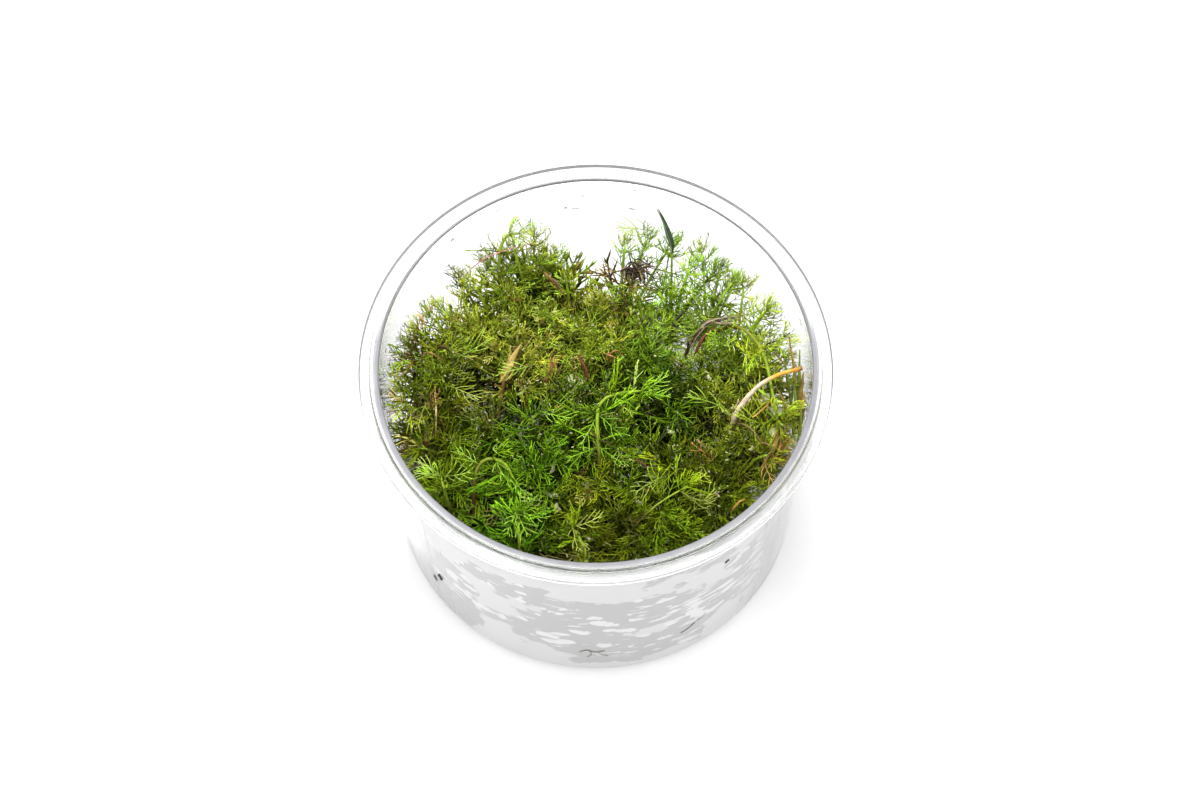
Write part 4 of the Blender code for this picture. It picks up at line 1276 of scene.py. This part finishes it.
def make_dead_stem(material, rng):
    """A grey-brown twisted stem, darker beneath, with torn leaves."""
    parts = []
    add_foot_stem(parts, "dead_stem", 0.4, (0.16, 0.11, 0.05))
    for _ in range(DEAD_FIBRES):
        offset = Vector((rng.uniform(-1, 1), rng.uniform(-1, 1), rng.uniform(-1, 0.5)))
        half = rng.uniform(0.10, 0.21)
        line = []
        for place, spread, taper in DEAD_STEM_LINE:
            wander = Vector((rng.uniform(-1, 1), rng.uniform(-1, 1), rng.uniform(-1, 1))) * 0.4
            line.append((*(Vector(place) + offset * spread + wander), half * taper, half * taper * 0.7))
        colour = np.array(rng.choice(DEAD_TINTS)) * rng.uniform(0.7, 1.3)
        add_ribbon(parts, line, ((0.0, colour * 0.5), (0.5, colour), (1.0, colour * 1.2)), sides=6)
    add_bundle(parts, (21.0, 13.6, 46.0), (19.6, 11.0, 49.5), TORN_LEAVES, 1.2, 0.3, DEAD_TINTS, rng)
    finished_stray(parts, "dead_stem", material)


def make_root_tangle(material, rng):
    """A clump of brown roots, with one pinkish torn leaf at its side."""
    parts = []
    add_foot_stem(parts, "root_tangle", 0.35, (0.10, 0.06, 0.03))
    centre = Vector((9.0, 29.2, 49.4))
    for _ in range(TANGLE_THREADS):
        points = []
        place = centre + Vector((rng.gauss(0, 1.1), rng.gauss(0, 0.9), rng.gauss(0, 0.9)))
        heading = Vector((rng.uniform(-1, 1.3), rng.uniform(-1.5, 1), rng.uniform(-1, 0.6)))
        reach = rng.choice((0.5, 0.7, 1.3))
        half = rng.uniform(0.10, 0.24)
        for step in range(5):
            points.append((*place, half * (1 - 0.16 * step), half * (1 - 0.16 * step)))
            turn = Vector((rng.uniform(-1, 1), rng.uniform(-1, 1), rng.uniform(-1, 1)))
            heading = (heading + turn * 0.9).normalized()
            place = place + heading * reach
        colour = np.array(rng.choice(TANGLE_COLOURS)) * rng.uniform(0.7, 1.3)
        add_ribbon(parts, points, ((0.0, colour * 0.7), (1.0, colour)), sides=5)
    for _ in range(TANGLE_KNOTS):
        place = centre + Vector((rng.gauss(-0.4, 1.0), rng.gauss(0, 0.7), rng.gauss(-0.4, 0.6)))
        generator = np.random.default_rng(rng.randrange(1000))
        sizes = np.array([rng.uniform(0.4, 0.9) for _ in range(3)]) * MM
        corners, faces = blob(np.array(place) * MM, sizes, generator, steps=(8, 6))
        parts.append((corners, faces, plain(corners, (0.03, 0.022, 0.012))))
    pink = ((8.0, 29.0, 49.6, 0.2, 0.2), (6.4, 29.3, 50.0, 0.7, 0.2), (4.8, 28.2, 50.2, 0.1, 0.1))
    add_ribbon(parts, pink, ((0.0, (0.10, 0.05, 0.04)), (1.0, (0.30, 0.14, 0.12))), sides=6)
    finished_stray(parts, "root_tangle", material)


def make_dry_bits(material):
    """The small dead threads, twigs and leaves that lie among the shoots."""
    parts = []
    for places, wide, thick, colour in DRY_BITS:
        rows = []
        for index, place in enumerate(places):
            swell = math.sin(math.pi * (0.12 + 0.76 * index / (len(places) - 1)))
            rows.append((*place, wide * swell, thick * swell))
        corners, faces, shares = ribbon(rows, sides=6)
        tones = np.array(colour) * (0.7 + 0.5 * shares)[:, None]
        parts.append((press_in(corners), faces, tones))
    bits = make_piece(parts, "dry_bits", material)
    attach(bits, "root")


def make_wall_marks(material):
    """Bits stuck to the outside of the front wall."""
    parts = []
    for places, half, colour in WALL_MARKS:
        rows = []
        for angle, height in places:
            radius = (inner_radius(height * MM) + WALL) / MM + half
            turn = math.radians(angle)
            rows.append((radius * math.sin(turn), -radius * math.cos(turn), height, half, half))
        corners, faces, _ = ribbon(rows, sides=6)
        parts.append((corners, faces, plain(corners, colour)))
    marks = make_piece(parts, "wall_marks", material)
    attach(marks, "root")


def make_wall_drops(material):
    """Drops on the inside of the wall."""
    rng = np.random.default_rng(DROP_SEED)
    parts = []
    for _ in range(DROPS):
        angle = rng.uniform(0, math.tau)
        height = rng.uniform(*DROP_HEIGHTS)
        sizes = rng.uniform(*DROP_SIZES) * MM
        points, faces = blob(np.zeros(3), sizes, rng, steps=(10, 6), lumpiness=0.12, turned=False)
        x, y, z = points.T
        x = inner_radius(height) - sizes[0] * 1.3 - DROP_GAP + x
        across = (x * math.cos(angle) - y * math.sin(angle), x * math.sin(angle) + y * math.cos(angle))
        parts.append((np.stack((*across, z + height), axis=1), faces, plain(points)))
    drops = make_piece(parts, "wall_drops", material)
    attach(drops, "root")


def make_strays():
    """The strays, then the small dead bits, and the marks and drops on the wall."""
    material = dry_material()
    rng = random.Random(STRAY_SEED)
    make_narrow_leaf(material)
    make_cut_stem(material, rng)
    make_dry_blade("tan_blade", TAN_TINTS, TAN_LEAVES, material, rng)
    make_dry_blade("brown_blade", BROWN_TINTS, BROWN_LEAVES, material, rng)
    make_dead_stem(material, rng)
    make_root_tangle(material, rng)
    make_dry_bits(material)
    make_wall_marks(material)
    make_wall_drops(drop_material())


def put(tree, node, inputs):
    """Sets a node's inputs, each to a value or joined to another node's output."""
    for key, value in inputs.items():
        if isinstance(value, bpy.types.NodeSocket):
            tree.links.new(value, node.inputs[key])
        else:
            node.inputs[key].default_value = value


def add_node(tree, kind, inputs, **settings):
    """A new shader node with its settings and inputs."""
    node = tree.nodes.new("ShaderNode" + kind)
    for key, value in settings.items():
        setattr(node, key, value)
    put(tree, node, inputs)
    return node


def new_material(name):
    """A material, its node tree and its Principled shader."""
    material = bpy.data.materials.new(name)
    material.use_nodes = True
    tree = material.node_tree
    return material, tree, tree.nodes["Principled BSDF"]


def object_place(tree):
    return add_node(tree, "TexCoord", {}).outputs["Object"]


def noise(tree, scale, detail=3.0, roughness=0.55, place=None, output="Fac"):
    """A noise texture, in the object's own metres if no place is given."""
    place = place if place is not None else object_place(tree)
    inputs = {"Scale": scale, "Detail": detail, "Roughness": roughness, "Vector": place}
    return add_node(tree, "TexNoise", inputs).outputs[output]


def ramp(tree, value, stops):
    """A colour ramp over value, its stops given as position and colour or grey."""
    node = add_node(tree, "ValToRGB", {"Fac": value})
    while len(node.color_ramp.elements) < len(stops):
        node.color_ramp.elements.new(0.5)
    for element, (place, colour) in zip(node.color_ramp.elements, stops):
        element.position = place
        element.color = (*colour, 1.0) if isinstance(colour, tuple) else (colour,) * 3 + (1.0,)
    return node.outputs["Color"]


def mottled(tree, scale, low, high, detail=3.0):
    """A colour or grey that wanders between two with a noise."""
    return ramp(tree, noise(tree, scale, detail), ((0.3, low), (0.7, high)))


def bump(tree, shader, scale, strength, distance):
    """Fine bumps from a noise."""
    inputs = {"Strength": strength, "Distance": distance, "Height": noise(tree, scale)}
    put(tree, shader, {"Normal": add_node(tree, "Bump", inputs).outputs["Normal"]})


def mix_colours(tree, kind, first, second, factor=1.0):
    """Two colours mixed, each given as a tuple or as an output."""
    first, second = ((*value, 1.0) if isinstance(value, tuple) else value for value in (first, second))
    inputs = {MIX_FACTOR: factor, MIX_FIRST: first, MIX_SECOND: second}
    return add_node(tree, "Mix", inputs, data_type="RGBA", blend_type=kind).outputs[MIX_RESULT]


def tinted_material(name, mottle, shine, specular):
    """A material whose colours are in the mesh, mottled and unevenly dull."""
    material, tree, shader = new_material(name)
    tint = add_node(tree, "VertexColor", {}, layer_name="tint").outputs["Color"]
    colour = mix_colours(tree, "MULTIPLY", tint, mottled(tree, *mottle))
    dull = mottled(tree, *shine)
    put(tree, shader, {"Base Color": colour, "Roughness": dull, "Specular IOR Level": specular})
    return material, tree, shader


def leaf_material():
    """Living leaves and stems."""
    return tinted_material("feathery_leaf", (500.0, 0.75, 1.2), (900.0, 0.34, 0.55), 0.07)[0]


def math_node(tree, kind, *values):
    """A maths node on values or outputs."""
    return add_node(tree, "Math", dict(enumerate(values)), operation=kind).outputs[0]


def times(tree, first, second):
    return math_node(tree, "MULTIPLY", first, second)


def larger(tree, first, second):
    return math_node(tree, "MAXIMUM", first, second)


def step_between(tree, value, low, high):
    """Rises smoothly from nought at low to one at high, or falls if high is lower."""
    inputs = {"Value": value, "From Min": min(low, high), "From Max": max(low, high)}
    inputs.update({"To Min": float(low > high), "To Max": float(low < high)})
    return add_node(tree, "MapRange", inputs, interpolation_type="SMOOTHSTEP").outputs["Result"]


def stretched(tree, scale, turn):
    """Object coordinates stretched and turned, for a pattern that runs one way."""
    inputs = {"Vector": object_place(tree), "Rotation": (0.0, turn, 0.0), "Scale": scale}
    return add_node(tree, "Mapping", inputs).outputs["Vector"]


def white_lobes(tree, axes, streaks):
    """White patches in the film: rounded lobes above the gel, and slanting streaks."""
    warp = {
        0: noise(tree, 260.0, 2.0, 0.5, output="Color"),
        1: (0.9, 0.9, 0.9),
        2: stretched(tree, (150.0, 150.0, 290.0), 0.25),
    }
    place = add_node(tree, "VectorMath", warp, operation="MULTIPLY_ADD").outputs["Vector"]
    inputs = {"Scale": 1.0, "Smoothness": 0.15, "Vector": place}
    lobes = add_node(tree, "TexVoronoi", inputs, feature="SMOOTH_F1").outputs["Distance"]
    lobe = times(tree, step_between(tree, lobes, *LOBE_EDGE), step_between(tree, axes["Z"], *LOBE_FOOT))
    right_side = times(tree, step_between(tree, axes["X"], *STREAK_RIGHT), -0.05)
    level = math_node(tree, "SUBTRACT", streaks, right_side)
    return larger(tree, lobe, step_between(tree, level, *STREAK_EDGE))


def dried_film(tree, axes, streaks):
    """The gel that dried on the front wall: its colour, and how far it covers the wall."""
    front = step_between(tree, axes["Y"], *FILM_FRONT)
    low = step_between(tree, axes["Z"], *FILM_TOP)
    reach = times(tree, times(tree, front, low), step_between(tree, axes["Z"], *FILM_BASE))
    broad = noise(tree, 1.0, 4.0, 0.5, stretched(tree, (55.0, 55.0, 75.0), 0.35))
    middle = math_node(tree, "SUBTRACT", axes["Z"], FILM_MIDDLE)
    away = math_node(tree, "DIVIDE", math_node(tree, "ABSOLUTE", middle), FILM_HALF)
    height = math_node(tree, "SUBTRACT", broad, times(tree, away, 0.3))
    grey_patch = step_between(tree, height, *FILM_EDGE)
    grey = mix_colours(tree, "MIX", *FILM_GREYS, streaks)
    patch = mix_colours(tree, "MIX", grey, FILM_WHITE, white_lobes(tree, axes, streaks))
    return mix_colours(tree, "MIX", FILM_THIN, patch, grey_patch), reach


def cup_material():
    """Clear plastic, with dried gel on its front wall, and painted grey bands and lines at the rim that
    stand in for its refraction.
    """
    material, tree, shader = new_material("clear_cup")
    place = object_place(tree)
    axes = add_node(tree, "SeparateXYZ", {"Vector": place}).outputs
    streaks = noise(tree, 1.0, 5.0, 0.65, stretched(tree, (110.0, 110.0, 620.0), 0.75))
    film, reach = dried_film(tree, axes, streaks)
    flat = add_node(tree, "VectorMath", {0: place, 1: (1.0, 1.0, 0.0)}, operation="MULTIPLY")
    radius = add_node(tree, "VectorMath", {0: flat.outputs["Vector"]}, operation="LENGTH").outputs["Value"]
    # painted grey band on the front of the lip's inner part, in place of the refraction seen there
    lip = times(tree, step_between(tree, axes["Z"], *LIP_TOP), step_between(tree, axes["Y"], *LIP_FRONT))
    lip = times(tree, lip, step_between(tree, radius, *PAINTED_LIP_BAND))
    # painted grey lines on the back of the flange's edge and round the mouth's inner edge, in place of
    # refraction lines
    edge = times(tree, step_between(tree, radius, *RIM_EDGE), step_between(tree, axes["Y"], *RIM_FRONT))
    inner = times(tree, step_between(tree, radius, *INNER_EDGE), step_between(tree, axes["Z"], *INNER_TOP))
    colour = mix_colours(tree, "MIX", CLEAR, film, reach)
    colour = mix_colours(tree, "MIX", colour, ramp(tree, streaks, PAINTED_LIP_GREYS), lip)
    for ring in (inner, edge):
        colour = mix_colours(tree, "MIX", colour, PAINTED_EDGE_GREY, ring)
    cloudy = larger(tree, times(tree, reach, FILM_CLOUD), times(tree, lip, LIP_CLOUD))
    cloudy = larger(tree, cloudy, times(tree, larger(tree, edge, inner), EDGE_CLOUD))
    dull = math_node(tree, "ADD", times(tree, cloudy, 0.34), 0.03)
    clear = math_node(tree, "SUBTRACT", 1.0, cloudy)
    put(tree, shader, {"Base Color": colour, "Transmission Weight": clear, "Roughness": dull, "IOR": 1.49})
    return material


def wet_material(name, tones, bumps, inputs):
    """A wet, mottled material with fine bumps."""
    material, tree, shader = new_material(name)
    put(tree, shader, {"Base Color": mottled(tree, *tones), "IOR": GEL_IOR, **inputs})
    bump(tree, shader, *bumps)
    return material


def gel_material():
    """Cloudy, nearly white gel."""
    tones = (160.0, (0.95, 0.96, 0.93), (0.88, 0.90, 0.84), 4.0)
    inputs = {"Transmission Weight": 0.55, "Roughness": 0.18}
    return wet_material("pale_gel", tones, (700.0, 0.4, 0.0006), inputs)


def speck_material():
    """Wet, pale gel crumbs, which also stand in as painted glints between the threads."""
    tones = (500.0, (0.56, 0.54, 0.30), (0.26, 0.27, 0.13))
    inputs = {"Roughness": 0.35, "Specular IOR Level": 0.3, "Transmission Weight": 0.15}
    return wet_material("gel_crumbs_and_glints", tones, (2000.0, 0.4, 0.0002), inputs)


def drop_material():
    """Drops of clear, wet gel."""
    tones = (800.0, (0.97, 0.97, 0.97), (0.88, 0.88, 0.87))
    inputs = {"Roughness": 0.05, "Transmission Weight": 0.95}
    return wet_material("wall_drops", tones, (1500.0, 0.3, 0.0001), inputs)


def dry_material():
    """Dead and damaged parts."""
    mottle, shine = (900.0, 0.6, 1.35, 4.0), (600.0, 0.4, 0.7)
    material, tree, shader = tinted_material("dry_plant", mottle, shine, 0.3)
    bump(tree, shader, 2500.0, 0.5, 0.0002)
    return material


def make_surround():
    """A plain surround, dimmer below than above."""
    world = bpy.data.worlds.new("surround")
    world.use_nodes = True
    tree = world.node_tree
    place = add_node(tree, "TexCoord", {}).outputs["Generated"]
    upward = add_node(tree, "SeparateXYZ", {"Vector": place}).outputs["Z"]
    light = ramp(tree, math_node(tree, "MULTIPLY_ADD", upward, 0.5, 0.5), WORLD_LIGHT)
    put(tree, tree.nodes["Background"], {"Color": light})
    bpy.context.scene.world = world


def make_stage():
    """The pale floor, the lights and the surround."""
    bpy.ops.mesh.primitive_plane_add(size=FLOOR_SIZE, location=(0.0, 0.0, -0.0001))
    floor = bpy.context.object
    floor.name = "floor"
    material, tree, shader = new_material("pale_floor")
    put(tree, shader, {"Base Color": FLOOR_COLOUR, "Roughness": 1.0, "Specular IOR Level": 0.0})
    put(tree, shader, {"Emission Color": (1.0, 1.0, 1.0, 1.0), "Emission Strength": FLOOR_GLOW})
    floor.data.materials.append(material)
    make_surround()
    add_light("key", "AREA", KEY_PLACE, -KEY_PLACE, energy=KEY_POWER, shape="DISK", size=KEY_SIZE)
    above = MOUTH_PLACE + Vector((0.0, 0.0, CUP_HEIGHT * 0.7))
    cone = 2 * math.atan(MOUTH_RADIUS / MOUTH_PLACE.length)
    soft = {"shadow_soft_size": 0.05, "spot_blend": 0.35, "spot_size": cone}
    add_light("mouth_light", "SPOT", above, -MOUTH_PLACE, energy=MOUTH_POWER, **soft)


def add_light(name, kind, place, aim, **settings):
    """A light at a place, pointed along its aim."""
    data = bpy.data.lights.new(name, kind)
    for key, value in settings.items():
        setattr(data, key, value)
    light = bpy.data.objects.new(name, data)
    light.location = place
    light.rotation_euler = aim.to_track_quat("-Z", "Y").to_euler()
    bpy.context.scene.collection.objects.link(light)


def make_camera():
    data = bpy.data.cameras.new("camera")
    data.lens = CAMERA_LENS
    data.sensor_width = CAMERA_SENSOR
    camera = bpy.data.objects.new("camera", data)
    back = Vector((0.0, -math.cos(CAMERA_ELEVATION), math.sin(CAMERA_ELEVATION)))
    camera.location = CAMERA_TARGET + back * CAMERA_DISTANCE
    camera.rotation_euler = (math.pi / 2 - CAMERA_ELEVATION, 0.0, 0.0)
    bpy.context.scene.collection.objects.link(camera)
    bpy.context.scene.camera = camera


def main():
    make_camera()
    make_stage()
    pieces = make_shoots(leaf_material(), leaf_kinds(random.Random(LEAF_SEED)))
    make_specks(pieces, speck_material())
    make_cup(cup_material())
    make_gel(gel_material())
    make_strays()
    bpy.context.scene.view_settings.view_transform = "Standard"


main()
